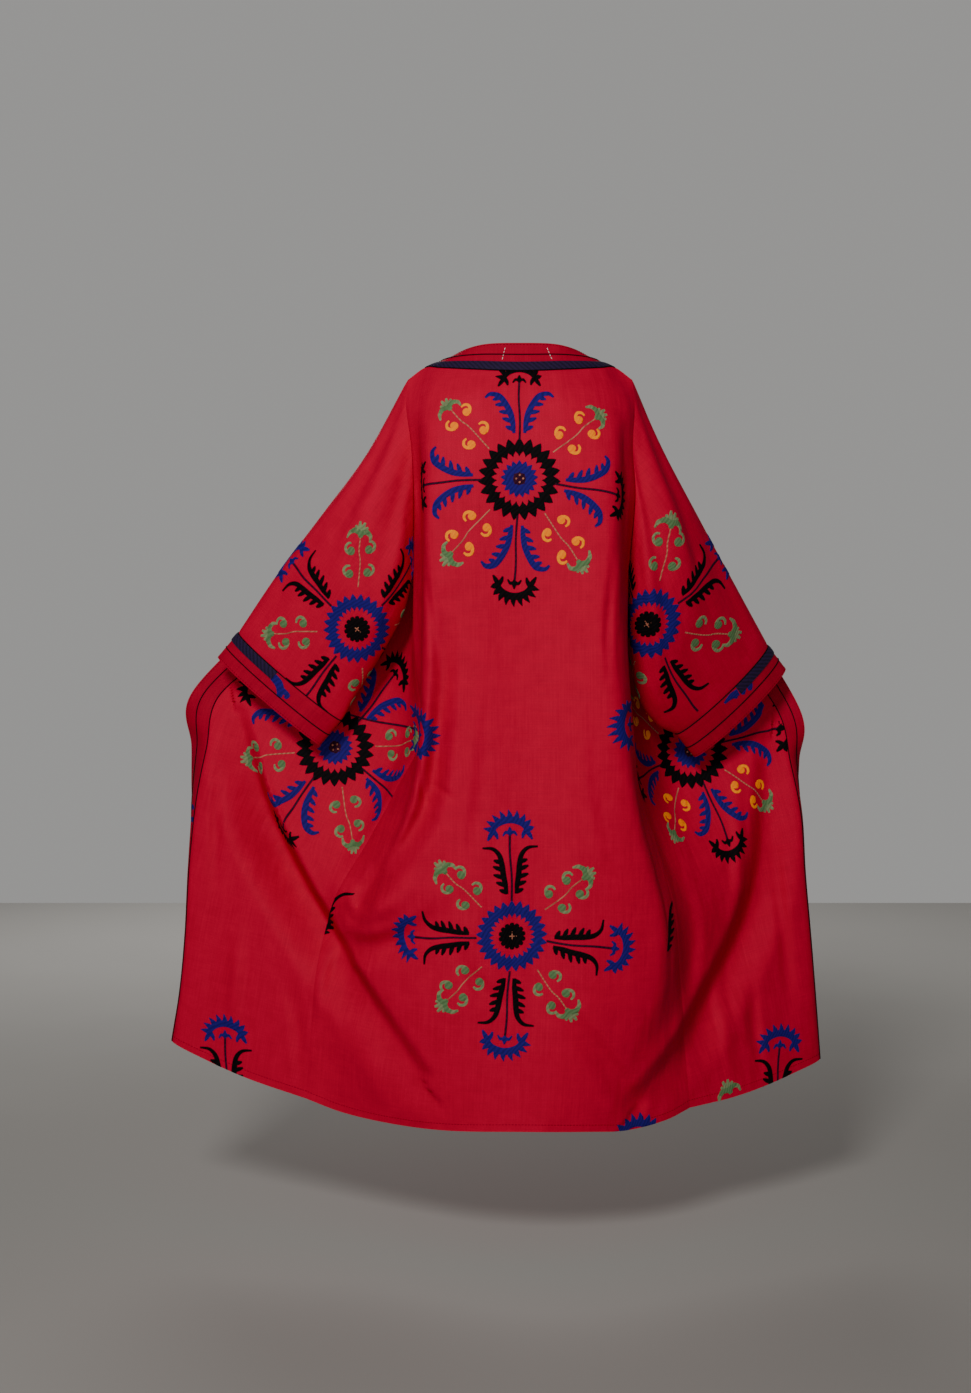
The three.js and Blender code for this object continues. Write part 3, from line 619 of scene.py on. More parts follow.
def add(tree, kind, inputs=None, **settings):
    """A node with its settings. An input is a value, or what to link: a node, which stands for
    its first output, or a (node, output) pair."""
    node = tree.nodes.new(kind)
    for name, value in settings.items():
        setattr(node, name, value)
    for name, value in (inputs or {}).items():
        if isinstance(value, bpy.types.Node):
            tree.links.new(value.outputs[0], node.inputs[name])
        elif isinstance(value, tuple) and isinstance(value[0], bpy.types.Node):
            tree.links.new(value[0].outputs[value[1]], node.inputs[name])
        else:
            node.inputs[name].default_value = value
    return node


def new_material(name):
    material = bpy.data.materials.new(name)
    material.use_nodes = True
    material.node_tree.nodes.clear()
    return material, material.node_tree


def two_tone(tree, tone, low, high, shade, colour):
    """The darker colour where the tone is low, the lighter one where it is high."""
    share = add(tree, "ShaderNodeMapRange", {"Value": tone, "From Min": low, "From Max": high})
    mixed = add(tree, "ShaderNodeMix", {
        0: share, 6: linear(shade), 7: linear(colour)}, data_type="RGBA")
    return mixed, 2


def grain(tree, at, across, down, detail, roughness):
    """Soft noise whose spots measure across by down, in millimetres."""
    place = add(tree, "ShaderNodeMapping", {
        "Vector": at, "Scale": (1 / (across * MM), 1 / (down * MM), 1 / (down * MM))})
    return add(tree, "ShaderNodeTexNoise", {
        "Vector": place, "Scale": 1.0, "Detail": detail, "Roughness": roughness})


def end(tree, **inputs):
    """The fibres' surface and the material's output."""
    surface = add(tree, "ShaderNodeBsdfPrincipled", {
        name.replace("_", " "): value for name, value in inputs.items()})
    add(tree, "ShaderNodeOutputMaterial", {"Surface": surface})


SLUB_LENGTH, SLUB_THICK = 55, 2.2   # slubs, thick stretches of thread; twice as thick, to show
MOTTLE = 34                 # size of the cloudy patches that hand dyeing leaves
RUMPLE, RUMPLE_DEPTH = 42, 6        # faint rumples left by folding and wear
WEFT_PITCH = 0.9            # drawn twice as coarse as the real weave
WEFT_SHARE = 0.25           # how high the weft stands, as a share of a slub


def slub_cloth(name, colour, shade, roughness=0.72):
    """Hand-woven silk and cotton: a soft sheen, cross-wise slubs and a cloudy dye."""
    material, tree = new_material(name)
    uv = add(tree, "ShaderNodeUVMap", uv_map="cloth")
    slubs = grain(tree, uv, SLUB_LENGTH, SLUB_THICK, 3.0, 0.6)
    warps = grain(tree, uv, SLUB_THICK, 2 * SLUB_LENGTH, 2.0, 0.5)
    patches = grain(tree, uv, MOTTLE, MOTTLE, 3.0, 0.6)
    rumples = grain(tree, uv, RUMPLE, 2.5 * RUMPLE, 2.5, 0.5)
    both = add(tree, "ShaderNodeMath", {0: slubs, 1: warps}, operation="ADD")
    tone = add(tree, "ShaderNodeMath", {0: both, 1: patches}, operation="ADD")
    gloss = add(tree, "ShaderNodeMapRange", {
        "Value": slubs, "From Min": 0.3, "From Max": 0.7,
        "To Min": roughness - 0.07, "To Max": roughness + 0.07})
    weft = add(tree, "ShaderNodeTexWave", {
        "Vector": uv, "Scale": 1 / (WEFT_PITCH * MM) / math.tau, "Distortion": 1.0},
        bands_direction="Y")
    raised = add(tree, "ShaderNodeMath", {0: (weft, 1), 1: WEFT_SHARE, 2: slubs},
                 operation="MULTIPLY_ADD")
    soft = add(tree, "ShaderNodeBump", {
        "Height": rumples, "Strength": 0.6, "Distance": RUMPLE_DEPTH * MM})
    bump = add(tree, "ShaderNodeBump", {
        "Height": raised, "Strength": 0.35, "Distance": 0.5 * MM, "Normal": soft})
    end(tree, Base_Color=two_tone(tree, tone, 1.0, 2.0, shade, colour),
        Roughness=gloss, Normal=bump, IOR=1.5, Specular_IOR_Level=0.1,
        Sheen_Weight=0.05, Sheen_Roughness=0.4, Sheen_Tint=linear("#ff3038"))
    return material


def rows_of_thread(name, colour, shade, at, row, spot, waves, uneven, depth, steep, **surface):
    """Slanting rows of thread, in millimetres: painted light on the rows and painted shade between
    them, with lighter and darker spots along them.
    """
    material, tree = new_material(name)
    place = add(tree, "ShaderNodeTexCoord"), at
    rows = add(tree, "ShaderNodeTexWave", {
        "Vector": place, "Scale": 1 / (row * MM) / math.tau, **waves}, bands_direction="DIAGONAL")
    spots = grain(tree, place, spot, spot, 2.0, uneven)
    tone = add(tree, "ShaderNodeMath", {0: (rows, 1), 1: spots}, operation="ADD")
    raised = add(tree, "ShaderNodeBump", {
        "Height": tone, "Strength": steep, "Distance": depth * MM})
    # Painted light on the rows and painted shade between them, with uneven spots.
    end(tree, Base_Color=two_tone(tree, tone, 0.3, 1.4, shade, colour),
        Normal=raised, IOR=1.5, Sheen_Roughness=0.5, **surface)
    return material


def chain_stitch(name, colour, shade):
    """Silk floss in close rows of small links, drawn twice as coarse; its soft lustre is painted
    light on the rows and painted shade between them.
    """
    return rows_of_thread(
        name, colour, shade, at="Object", row=2.2, spot=3.5, uneven=0.6, depth=0.4, steep=0.35,
        waves={"Distortion": 9.0, "Detail": 2.0, "Detail Scale": 0.35},
        Roughness=0.7, Specular_IOR_Level=0.06, Sheen_Weight=0.0)


def woven_braid(name, colour, shade):
    """Flat cotton braid: fine slanting ribs on a matt ground, with painted light on the ribs and
    painted shade between them.
    """
    return rows_of_thread(
        name, colour, shade, at="UV", row=2.4, spot=4, uneven=0.5, depth=0.5, steep=0.6,
        waves={"Distortion": 1.5, "Detail": 1.0},
        Roughness=0.75, Specular_IOR_Level=0.15, Sheen_Weight=0.04)


def painted_floor(name, colour, far_painted_light, height):
    """Matt painted studio floor with a faint cloudiness, paler away from the middle as painted
    light, where the lamps light it less.
    """
    material, tree = new_material(name)
    place = add(tree, "ShaderNodeTexCoord"), "Object"
    reach = add(tree, "ShaderNodeVectorMath", {0: place, 1: (0, 0, -height)}, operation="ADD")
    away = add(tree, "ShaderNodeVectorMath", {0: reach}, operation="LENGTH")
    clouds = add(tree, "ShaderNodeTexNoise", {"Vector": place, "Scale": 1.5})
    cloudy = add(tree, "ShaderNodeMath", {0: clouds, 1: 0.6, 2: (away, "Value")},
                 operation="MULTIPLY_ADD")
    # Painted light: the floor turns paler with distance from the middle, where the lamps light it
    # less.
    far = add(tree, "ShaderNodeMapRange", {"Value": cloudy, "From Min": 1.2, "From Max": 4.0},
              interpolation_type="SMOOTHSTEP")
    end(tree, Base_Color=two_tone(tree, far, 0.0, 1.0, colour, far_painted_light),
        Roughness=0.8, Specular_IOR_Level=0.2)
    return material


def cached(kind, name, *colours):
    """One material for each name, made when it is first asked for."""
    return bpy.data.materials.get(name) or kind(name, *colours)


# ---- settings ----
def number(unit, name, description, default):
    return FloatProperty(name=name, description=description, default=default, unit=unit)


def text(name, description, default):
    return StringProperty(name=name, description=description, default=default)


length, power = partial(number, "LENGTH"), partial(number, "POWER")


class RobeSizes(bpy.types.PropertyGroup):
    wall: length("Cloth wall", "Thickness of the cloth", 0.0014)
    braid_wall: length("Braid wall", "Thickness of the braid", 0.0015)
    braid_gap: length("Braid gap", "How far the braid stands clear of the band", 0.0004)
    piping: length("Piping", "Thickness of the piping", 0.002)
    thread: length("Thread", "Thickness of the sewing thread", 0.0007)
    stitch_length: length("Stitch", "Length of a top stitch", 0.0042)
    stitch_pitch: length("Stitch pitch", "From one top stitch to the next", 0.0056)
    seam_sink: length("Seam sink", "How far a seam pulls the cloth in", 0.0006)
    seam_reach: length("Seam reach", "How far from a seam the cloth is pulled in", 0.004)


class RobeColours(bpy.types.PropertyGroup):
    cloth: text("Cloth", "Cloth in the light", "#c40032")
    cloth_shade: text("Cloth, darker", "Cloth where the dye is deep", "#b0002a")
    band: text("Band", "Band cloth", "#ae002a")
    band_shade: text("Band, darker", "Band cloth where the dye is deep", "#980022")
    # The braid's colours: painted light on its ribs and painted shade between them.
    braid: text("Braid", "Braid in the light", "#241238")
    braid_painted_shade: text("Braid, darker", "Braid between its ribs", "#120a20")
    floor: text("Floor", "Studio floor", "#8f8c87")
    # The far floor colour is painted light, where the lamps light the floor less.
    floor_far_painted_light: text("Floor, far", "Studio floor away from the robe", "#b8b5b0")


class RobeStage(bpy.types.PropertyGroup):
    floor_z: length("Floor height", "Height of the floor", -1.57)
    key_power: power("Key light", "Power of the main light", 120.0)
    fill_power: power("Fill light", "Power of the fill light", 26.0)
    front_power: power("Front light", "Power of the light on the front", 60.0)


def sizes():
    return bpy.context.scene.robe_sizes


def colours():
    return bpy.context.scene.robe_colours


# ---- finishing a piece ----
def finish(piece, material, node=None):
    """Gives a piece its material and its body, and hides the CAD node that it stands for."""
    piece.data.materials.clear()
    piece.data.materials.append(material)
    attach(piece, "root")
    if node:
        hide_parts(node)


SURFACES = {}               # a panel's name and its outer face


def make_cloth(name, grid, slot, seams, closed=False, straight=0):
    """A panel: its outer face, its shell, its material and its cut."""
    look = colours()
    material = (cached(slub_cloth, "slubby_silk_cotton", look.cloth, look.cloth_shade)
                if slot == "red_cloth" else
                cached(slub_cloth, "pressed_silk_cotton", look.band, look.band_shade, 0.74))
    grid = rolled(grid, closed, seams)
    SURFACES[name] = Surface(grid, closed, straight)
    piece = shell(name + "_cloth", grid, sizes().wall / MM, SURFACES[name].flat, closed)
    finish(piece, material, name)


# ---- embroidery: outlines in millimetres, drawn pointing up from the middle of a medallion ----
def placed(points, x=0, y=0, turn=0, mirror=False):
    """Points mirrored left to right if asked, turned anticlockwise in degrees, then moved."""
    points = np.asarray(points, float) * ([-1, 1] if mirror else [1, 1])
    c, s = math.cos(math.radians(turn)), math.sin(math.radians(turn))
    return points @ np.array([[c, s], [-s, c]]) + [x, y]


def shifted(figures, x=0, y=0, turn=0):
    return [(thread, layer, [placed(outline, x, y, turn) for outline in outlines])
            for thread, layer, outlines in figures]


def polar(turns, wide, high=None):
    """Points at some turns clockwise from above, on a circle or an oval."""
    return np.stack([np.sin(turns) * wide, np.cos(turns) * (wide if high is None else high)], -1)


def ribbon(points, widths, runs=5):
    """The outline of a stroke along a curve, with a width at each of the curve's points."""
    t = np.linspace(0, len(points) - 1, runs * (len(points) - 1) + 1)
    line = spline(points, t)
    half = spline(np.interp(t, np.arange(len(widths)), widths), np.arange(len(t)))[:, None] / 2
    along = np.gradient(line, axis=0)
    over = np.stack([-along[:, 1], along[:, 0]], -1) / np.linalg.norm(along, axis=1)[:, None]
    return np.concatenate([line + over * half, (line - over * half)[::-1]])


def stroke(text):
    """The outline of a stroke from rows of x, y and width."""
    rows = np.array([row.split() for row in text.split(",")], float)
    return ribbon(rows[:, :2], rows[:, 2])


def star(points, tip, valley, roundness=0):
    """A star with straight teeth, or a scalloped disc where roundness is 1."""
    turn = np.arange(points * 6) * math.tau / (points * 6)
    wave = np.abs((turn * points / math.tau) % 1 - 0.5) * 2
    wave = wave * (1 - roundness) + np.sqrt(np.clip(1 - (1 - wave) ** 2, 0, 1)) * roundness
    return polar(turn, valley + (tip - valley) * wave)


def toothed_ring(teeth, outer_tip, outer_valley, inner_valley, inner_tip):
    """A ring with teeth outside and inside, in sectors of one tooth each."""
    turn = np.array([-0.5, -0.2, 0, 0.2, 0.5])
    turns = np.concatenate([turn, turn[::-1]])
    radius = np.concatenate([
        outer_valley + (outer_tip - outer_valley) * np.array([0, 0.65, 1, 0.65, 0]),
        inner_valley + (inner_tip - inner_valley) * np.array([0, 0.5, 1, 0.5, 0])])
    return [polar((k + turns) * math.tau / teeth, radius) for k in range(teeth)]


def comb_leaf(spine, lobe_width, at, reach):
    """A curved leaf with rounded lobes along its outer side and a hooked tip. The spine has rows
    of x, y and width, and the lobes have places along it and lengths."""
    spine = np.array([row.split() for row in spine.split(",")], float)
    outlines = [ribbon(spine[:, :2], spine[:, 2])]
    for t, stretch in zip(at, reach):
        base, ahead = spline(spine[:, :2], np.array([t, t + 0.1]))
        along = (ahead - base) / np.linalg.norm(ahead - base)
        out = (np.array([along[1], -along[0]]) * 0.82 + along * 0.42) * stretch
        outlines.append(ribbon([base, base + out * 0.6, base + out],
                               [lobe_width, lobe_width * 0.95, lobe_width * 0.35]))
    return outlines


BROAD_LEAF = comb_leaf(
    "9 78 5, 11 94 9, 15 112 10.5, 24 130 10.5, 36 144 10, 51 147 8, 60 140 3.5",
    lobe_width=8, at=(0.4, 1.25, 2.1, 2.95, 3.75), reach=(16, 20, 21, 20, 16))
SLIM_LEAF = comb_leaf(
    "8 72 5, 10 88 8.5, 13 105 9.5, 15 122 9.5, 19 138 8, 30 149 6, 47 151 3",
    lobe_width=7.6, at=(0.2, 0.95, 1.7, 2.45, 3.2), reach=(14, 18, 20, 19, 15))
CARNATION_REACH = 176       # from the middle of a medallion to the end of a carnation's stem


def carnation():
    """A bowl of pointed petals round the end of a stem, with horns that turn back at its sides."""
    outlines = [ribbon(polar(np.radians(np.linspace(-88, 88, 13)), 29, 21),
                       [7, 9, 10, 11] + [12] * 5 + [11, 10, 9, 7], runs=2)]
    for turn in np.linspace(-1.36, 1.36, 9):
        root, tip = polar(turn, 29, 20), polar(turn, 44, 38)
        outlines.append(ribbon([root, (root + tip) / 2 + [0.5, 0], tip + [-1.5, 0]],
                               [10.5, 8.5, 1]))
    for mirror in (False, True):
        for horn in ("29 2 9, 34 -6 7.5, 38 -13 3", "28 3 9, 23 -4 7, 21 -11 3",
                     "0 -2 5, 7 0 5.5, 12 -6 2.5"):
            outlines.append(placed(stroke(horn), mirror=mirror))
    outlines.append(stroke("0 -6 4, 0 1 10, 0 9 2"))
    return [placed(outline, y=CARNATION_REACH) for outline in outlines]


CLAW_SIZE = 0.78


def claw_flower(y):
    """A small open flower: fingers ahead, and a long hook to each side."""
    heart = [stroke("0 -5 8, 0 5 16, 0 12 15"),
             stroke("-4 7 12, -15 11 11, -24 7 8"),
             stroke("4 6 12, 14 7 10, 21 2 7")]
    ends = [stroke("-14 10 9, -26 6 9.5, -33 -6 4"),
            stroke("12 7 9, 22 -1 9, 22 -14 4")]
    ends += [placed(ribbon([(0, 8), (0, 7 + reach * 0.6), (1.5, 7 + reach)], [9, 8.5, 4.5]),
                    turn=-lean) for lean, reach in ((-34, 18), (-9, 23), (15, 21), (40, 16))]
    return [("green", 1, [placed(part * CLAW_SIZE, y=y) for part in heart]),
            ("moss", 0, [placed(part * CLAW_SIZE, y=y) for part in ends])]


BUD = polar(np.arange(20) * math.tau / 20, 6.6, 7.2)
BUD_TAIL = stroke("3 -4 6, 8.5 2 5.5, 9 9 5, 3.5 13.5 4.6, -3 13 3")
BUD_TAILS = {"orange": "amber", "green": "moss"}


def sprig(bud_thread, near, far, flower):
    """A thin stem with two pairs of buds like commas, near and far, and a flower at its end."""
    figures = [("pale", 0, [ribbon([(0, 72), (2, (near + far) / 2), (-1, far), (0, flower)],
                                   [2.2, 2, 2.2, 2.2])])] + claw_flower(flower)
    for place in ((-16, near, 10, True), (15, near + 3, -20, False),
                  (-15, far, 15, True), (16, far + 3, -10, False)):
        figures += [(bud_thread, 1, [placed(BUD, *place)]),
                    (BUD_TAILS[bud_thread], 0, [placed(BUD_TAIL, *place)])]
    return figures


def arm(flower_thread, leaf_thread, leaf):
    """A stem with a carnation, between a pair of leaves."""
    return [("stem", 0, [stroke("0 60 3.6, 1 100 3.4, -1 140 3.6, 0 178 4")]),
            (flower_thread, 0, carnation()), (leaf_thread, 0, leaf),
            (leaf_thread, 0, [placed(outline, mirror=True) for outline in leaf])]


ARM_LEAN = (0, 2, -3, -8)   # degrees by which each arm strays, as drawn by hand
SPRIG_LEAN = (0, 1, -8, -7)


def medallion(middle, arm_parts, sprig_parts, without=None):
    """Four arms and four sprigs round a middle, or three arms."""
    for k in range(4):
        if k != without:
            middle += shifted(arm(*arm_parts), turn=90 * k + ARM_LEAN[k])
        middle += shifted(sprig(*sprig_parts), turn=90 * k + 45 + SPRIG_LEAN[k])
    return middle


def black_medallion(bud_thread):
    """A black ring round a blue rosette, with black carnations and blue leaves."""
    dots = [("pale", 2, [placed(star(6, 3, 2.6, 1) + [6, 0], turn=90 * k)]) for k in range(4)]
    return medallion([("black", 0, toothed_ring(23, 70, 58, 47, 38)),
                      ("blue", 0, [star(17, 32, 25)]), ("stem", 1, [star(8, 12, 11, 1)]), *dots],
                     ("black", "blue", BROAD_LEAF), (bud_thread, 98, 142, 172))


def blue_medallion(without=None):
    """A blue ring with fine teeth round a black rosette, with blue carnations, black leaves."""
    cross = [ribbon(line, [2.2, 3, 2.2]) for line in (
        [(0, -8), (0, 0), (0, 8)], [(-8, 0), (0, 0), (8, 0)])]
    return medallion([("blue", 0, toothed_ring(25, 61, 51, 39, 31)),
                      ("black", 0, [star(14, 23, 19, 1)]), ("pale", 1, cross)],
                     BLUE_ARM, ("green", 94, 132, 158), without)


BLUE_ARM = ("blue", "black", SLIM_LEAF)
# A heavy stem's end that turns down across a cuff, and a stem's lobes with its tapered end.
HOOK = [stroke("-16 20 14, -6 8 15, -3 -4 14, -5 -16 9"),
        stroke("-4 2 9, 4 -6 9, 9 -13 11, 5 -18 5")]
SCALLOPS = [ribbon([(x, y + 6), (x + 1, y), (x + 1.5, y - 7)], [12, 11, 6])
            for x, y in ((-14, -7), (0, 0), (13, 7))]
SCALLOPS.append(stroke("-8 -2 13, -20 -9 11, -33 -22 4"))
FIGURES = {
    "black_orange": black_medallion("orange"),
    "black_green": black_medallion("green"),
    "blue_green": blue_medallion(),
    "blue_three": blue_medallion(without=2),
    "blue_arm": shifted(arm(*BLUE_ARM), y=-CARNATION_REACH),
    "blue_flower": shifted(arm(*BLUE_ARM)[:2], y=-CARNATION_REACH),
    "leaf_pair": shifted([part for part in arm(*BLUE_ARM) if part[0] != "blue"], y=-112),
    "black_leaf": shifted([("black", 0, SLIM_LEAF)], -12, -108),
    "green_flower": claw_flower(0),
    "blue_hook": [("blue", 0, HOOK)],
    "blue_scallops": [("blue", 0, SCALLOPS)],
    "blue_dots": [("blue", 0, [star(7, 5, 4, 1) + [0, y]]) for y in (-12, 10)],
}

# Where each figure lies as seen from behind: the panel, a place x, z on it, how far to the right
# and up of it the figure's middle is, and its turn, anticlockwise.
MOTIFS = """
    black_orange back_panel 3 -227 0 0 0
    black_green front_panel_left 330 -700 0 0 54
    black_orange front_panel_right -316 -716 0 0 22
    blue_green back_panel 15 -1001 0 0 0
    blue_green sleeve_left 283 -484 0 0 50
    blue_three sleeve_right -222 -476 0 0 32
    leaf_pair sleeve_right -278 -580 0 0 212
    blue_flower front_panel_left 190 -661 12 0 -90
    blue_flower back_panel 168 -661 -10 0 -90
    blue_flower back_panel -177 -643 14 0 90
    blue_arm front_panel_left 529 -1219 0 0 2
    blue_arm front_panel_right -476 -1255 0 8 -6
    blue_arm back_panel -199 -1322 0 -36 8
    green_flower front_panel_right -377 -1312 0 0 30
    black_leaf back_panel 340 -1003 0 0 0
    black_leaf back_panel -262 -1001 -6 0 0
    blue_hook cuff_band_left 419 -590 0 0 0
    blue_scallops cuff_band_right -403 -600 0 0 0
    blue_dots front_band_left 591 -822 0 0 0"""

SPACING = 4.0               # between the points of a patch of stitches
PAD_LIFT, EDGE_LIFT = 0.85, 0.4     # how high the stitches stand above the cloth, and their edges
LAYER_LIFT = 0.3            # more for each layer on top of another
PAD_ROOT = 0.35             # how far they go into it
SLIVER = 0.02               # square millimetres; smaller triangles past an edge are left out


def dense(outline):
    """An outline with no two points further apart than the spacing, anticlockwise."""
    ahead = np.roll(outline, -1, axis=0)
    count = np.maximum(np.ceil(np.linalg.norm(ahead - outline, axis=1) / SPACING).astype(int), 1)
    loop = np.concatenate([a + (b - a) * (np.arange(n) / n)[:, None]
                           for a, b, n in zip(outline, ahead, count)])
    return loop if cross2(loop, np.roll(loop, -1, axis=0)).sum() > 0 else loop[::-1]


def contains(outline, points):
    """Which points an outline goes round."""
    a, b = outline, np.roll(outline, -1, axis=0)
    x, y = points[:, :1], points[:, 1:]
    spans = (a[:, 1] > y) != (b[:, 1] > y)
    rise = np.where(b[:, 1] == a[:, 1], 1e-9, b[:, 1] - a[:, 1])
    cut_x = a[:, 0] + (y - a[:, 1]) * (b[:, 0] - a[:, 0]) / rise
    return (spans & (x < cut_x)).sum(1) % 2 == 1


def fill(outlines):
    """Triangles that cover some outlines together, with points inside as close as round them."""
    loops = [dense(outline) for outline in outlines]
    rim = np.concatenate(loops)
    starts = np.cumsum([0] + [len(loop) for loop in loops])
    faces = [list(range(a, b)) for a, b in zip(starts, starts[1:])]
    lattice = np.stack(np.meshgrid(*(np.arange(low, high, SPACING)
                                     for low, high in zip(rim.min(0), rim.max(0)))), -1)
    lattice = lattice.reshape(-1, 2)
    inside = np.any([contains(loop, lattice) for loop in loops], axis=0)
    places, _, triangles, _, _, origins = delaunay_2d_cdt(
        [Vector(p) for p in np.concatenate([rim, lattice[inside]])], [], faces, 0, 1e-3)
    return (np.array([p[:] for p in places]),
            np.array([t for t, origin in zip(triangles, origins) if origin]))


def rim_edges(triangles):
    """The edges that only one triangle has, in that triangle's direction."""
    edges = np.concatenate([triangles[:, [0, 1]], triangles[:, [1, 2]], triangles[:, [2, 0]]])
    _, index, count = np.unique(np.sort(edges, axis=1), axis=0, return_index=True,
                                return_counts=True)
    return edges[index[count == 1]]


def pad(surface, places, triangles, layer):
    """A patch of stitches on the cloth: points, faces and places in the pattern."""
    points, normals, on = surface.on_cloth(places)
    a, b, c = points[triangles].transpose(1, 0, 2)
    area = np.linalg.norm(np.cross(b - a, c - a), axis=1) / 2
    triangles = triangles[on[triangles].any(1) & (area > SLIVER)]
    if not len(triangles):
        return None
    used, triangles = np.unique(triangles, return_inverse=True)
    triangles = triangles.reshape(-1, 3)
    points, normals, places = points[used], normals[used], places[used]
    rim = rim_edges(triangles)
    height = np.full(len(points), PAD_LIFT)
    height[rim.ravel()] = EDGE_LIFT
    top = points + normals * (height + layer * LAYER_LIFT)[:, None]
    n = len(points)
    walls = np.stack([rim[:, 1], rim[:, 0], rim[:, 0] + n, rim[:, 1] + n], -1)
    faces = triangles.tolist() + (triangles[:, ::-1] + n).tolist() + walls.tolist()
    return np.concatenate([top, points - normals * PAD_ROOT]), faces, np.tile(places, (2, 1))


VIEW_STEP = 6               # millimetres, to find how a pattern runs as seen from behind
MOST_STRETCH = 1.5          # of a figure where the cloth turns away


def seen_frame(surface, x, z):
    """A place in a pattern, and what a millimetre to the right and up is there, as seen from
    behind."""
    runs = []
    for dx, dz in ((-VIEW_STEP, 0), (0, VIEW_STEP)):
        ends = [(k, surface.from_behind(x + dx * k, z + dz * k)) for k in (-1, 0, 1)]
        ends = [(k, end) for k, end in ends if end is not None]
        if len(ends) < 2:
            raise ValueError(f"the panel is too small at {x}, {z}")
        (first, start), (last, end) = ends[0], ends[-1]
        run = (end - start) / (last - first) / VIEW_STEP
        runs.append(run / max(np.linalg.norm(run) / MOST_STRETCH, 1))
    return surface.from_behind(x, z), np.array(runs)


def patches():
    """Every patch of stitches, by panel and thread."""
    found = {}
    for line in MOTIFS.strip().splitlines():
        kind, name, *numbers = line.split()
        x, z, right, up, turn = (float(number) for number in numbers)
        middle, seen = seen_frame(SURFACES[name], x, z)
        for thread, layer, outlines in FIGURES[kind]:
            outlines = [middle + placed(outline, right, up, turn) @ seen for outline in outlines]
            patch = pad(SURFACES[name], *fill(outlines), layer)
            if patch:
                found.setdefault((name, thread), []).append(patch)
    return found


def joined(parts):
    """Several patches as one list of points, one of faces and one of places."""
    starts = np.cumsum([0] + [len(points) for points, _, _ in parts])
    faces = [[v + start for v in face] for start, (_, faces, _) in zip(starts, parts)
             for face in faces]
    return np.concatenate([p[0] for p in parts]), faces, np.concatenate([p[2] for p in parts])


# ---- pieces ----
class ROBE_OT_body(bpy.types.Operator):
    """Make the back panel and the two fronts"""

    bl_idname = "robe.body"
    bl_label = "Back and fronts"

    def execute(self, context):
        seams = ("top", "first", "last")
        make_cloth("back_panel", back_grid(), "red_cloth", seams)
        for side, half in HALVES.items():
            make_cloth(f"front_panel_{side}", front_grid(half), "red_cloth", seams)
        return {"FINISHED"}


class ROBE_OT_sleeves(bpy.types.Operator):
    """Make the two sleeves"""

    bl_idname = "robe.sleeves"
    bl_label = "Sleeves"

    def execute(self, context):
        for side, half in HALVES.items():
            make_cloth(f"sleeve_{side}", sleeve_grid(half), "red_cloth", ("top", "bottom"),
                       closed=True, straight=-1)
        return {"FINISHED"}


class ROBE_OT_bands(bpy.types.Operator):
    """Make the border band round the neck, fronts and cuffs"""

    bl_idname = "robe.bands"
    bl_label = "Border bands"

    def execute(self, context):
        make_cloth("neck_band", neck_band_grid(), "band_cloth", ("bottom", "first", "last"))
        for side, half in HALVES.items():
            make_cloth(f"front_band_{side}", front_band_grid(half), "band_cloth",
                       ("top", "last" if half is LEFT else "first"),
                       straight=-1)
            make_cloth(f"cuff_band_{side}", cuff_grid(half), "band_cloth", ("top",),
                       closed=True)
        return {"FINISHED"}


BAND = 60.0                 # width of a border band
BRAID_INNER, BRAID_OUTER = 41.0, 58.0   # the braid lies this far from the band's free edge
BRAID_ROWS, BRAID_COLUMNS = 8, 160
CUFF_BRAID = 0.23           # share of the way round a cuff, each way from its upper line


def braid_piece(name, band, down, over):
    """A flat braid on a stretch of a band."""
    size, look = sizes(), colours()
    crown = np.linspace(-1, 1, len(down))[:, None, None] ** 4 * 0.5
    lift = (size.braid_gap + size.braid_wall) / MM - crown
    grid = SURFACES[band].patch_at(down, over, lift)
    piece = shell(name + "_weave", grid, size.braid_wall / MM, flatten(grid))
    finish(piece, cached(woven_braid, "flat_woven_braid", look.braid, look.braid_painted_shade),
           name)


class ROBE_OT_braids(bpy.types.Operator):
    """Lay the navy braid on the neck band and the cuffs"""

    bl_idname = "robe.braids"
    bl_label = "Braids"

    def execute(self, context):
        down = np.linspace(BRAID_INNER, BRAID_OUTER, BRAID_ROWS) / BAND
        braid_piece("neck_braid", "neck_band", down, np.linspace(0, 1, BRAID_COLUMNS))
        over = np.linspace(-CUFF_BRAID, CUFF_BRAID, BRAID_COLUMNS)
        for side, middle in UPPER_LINE.items():
            braid_piece(f"cuff_braid_{side}", f"cuff_band_{side}", 1 - down[::-1], middle + over)
        return {"FINISHED"}


# Each thread's second colour is painted shade between its rows of stitches.
THREADS = {
    "black": ("black_thread", "#0c0709", "#040203"),
    "blue": ("blue_thread", "#221070", "#180c58"),
    "green": ("green_thread", "#5c7a50", "#4a6640"),
    "moss": ("green_thread", "#7c8860", "#687450"),
    "orange": ("orange_thread", "#ff8a00", "#fb7a00"),
    "amber": ("orange_thread", "#ff9600", "#ff8600"),
    "stem": ("stem_thread", "#3a0a26", "#220618"),
    "pale": ("stem_thread", "#b5745a", "#8c4c3a"),
}


class ROBE_OT_embroidery(bpy.types.Operator):
    """Stitch the medallions and flowers on the panels"""

    bl_idname = "robe.embroidery"
    bl_label = "Embroidery"

    def execute(self, context):
        for (panel, thread), parts in patches().items():
            points, faces, places = joined(parts)
            piece = mesh_object(f"embroidery_{thread}_{panel}", points * MM, faces,
                                places[np.concatenate(faces)] * MM)
            slot, *colour_and_painted_shade = THREADS[thread]
            finish(piece, cached(chain_stitch, f"{thread}_chain_stitch", *colour_and_painted_shade))
        return {"FINISHED"}


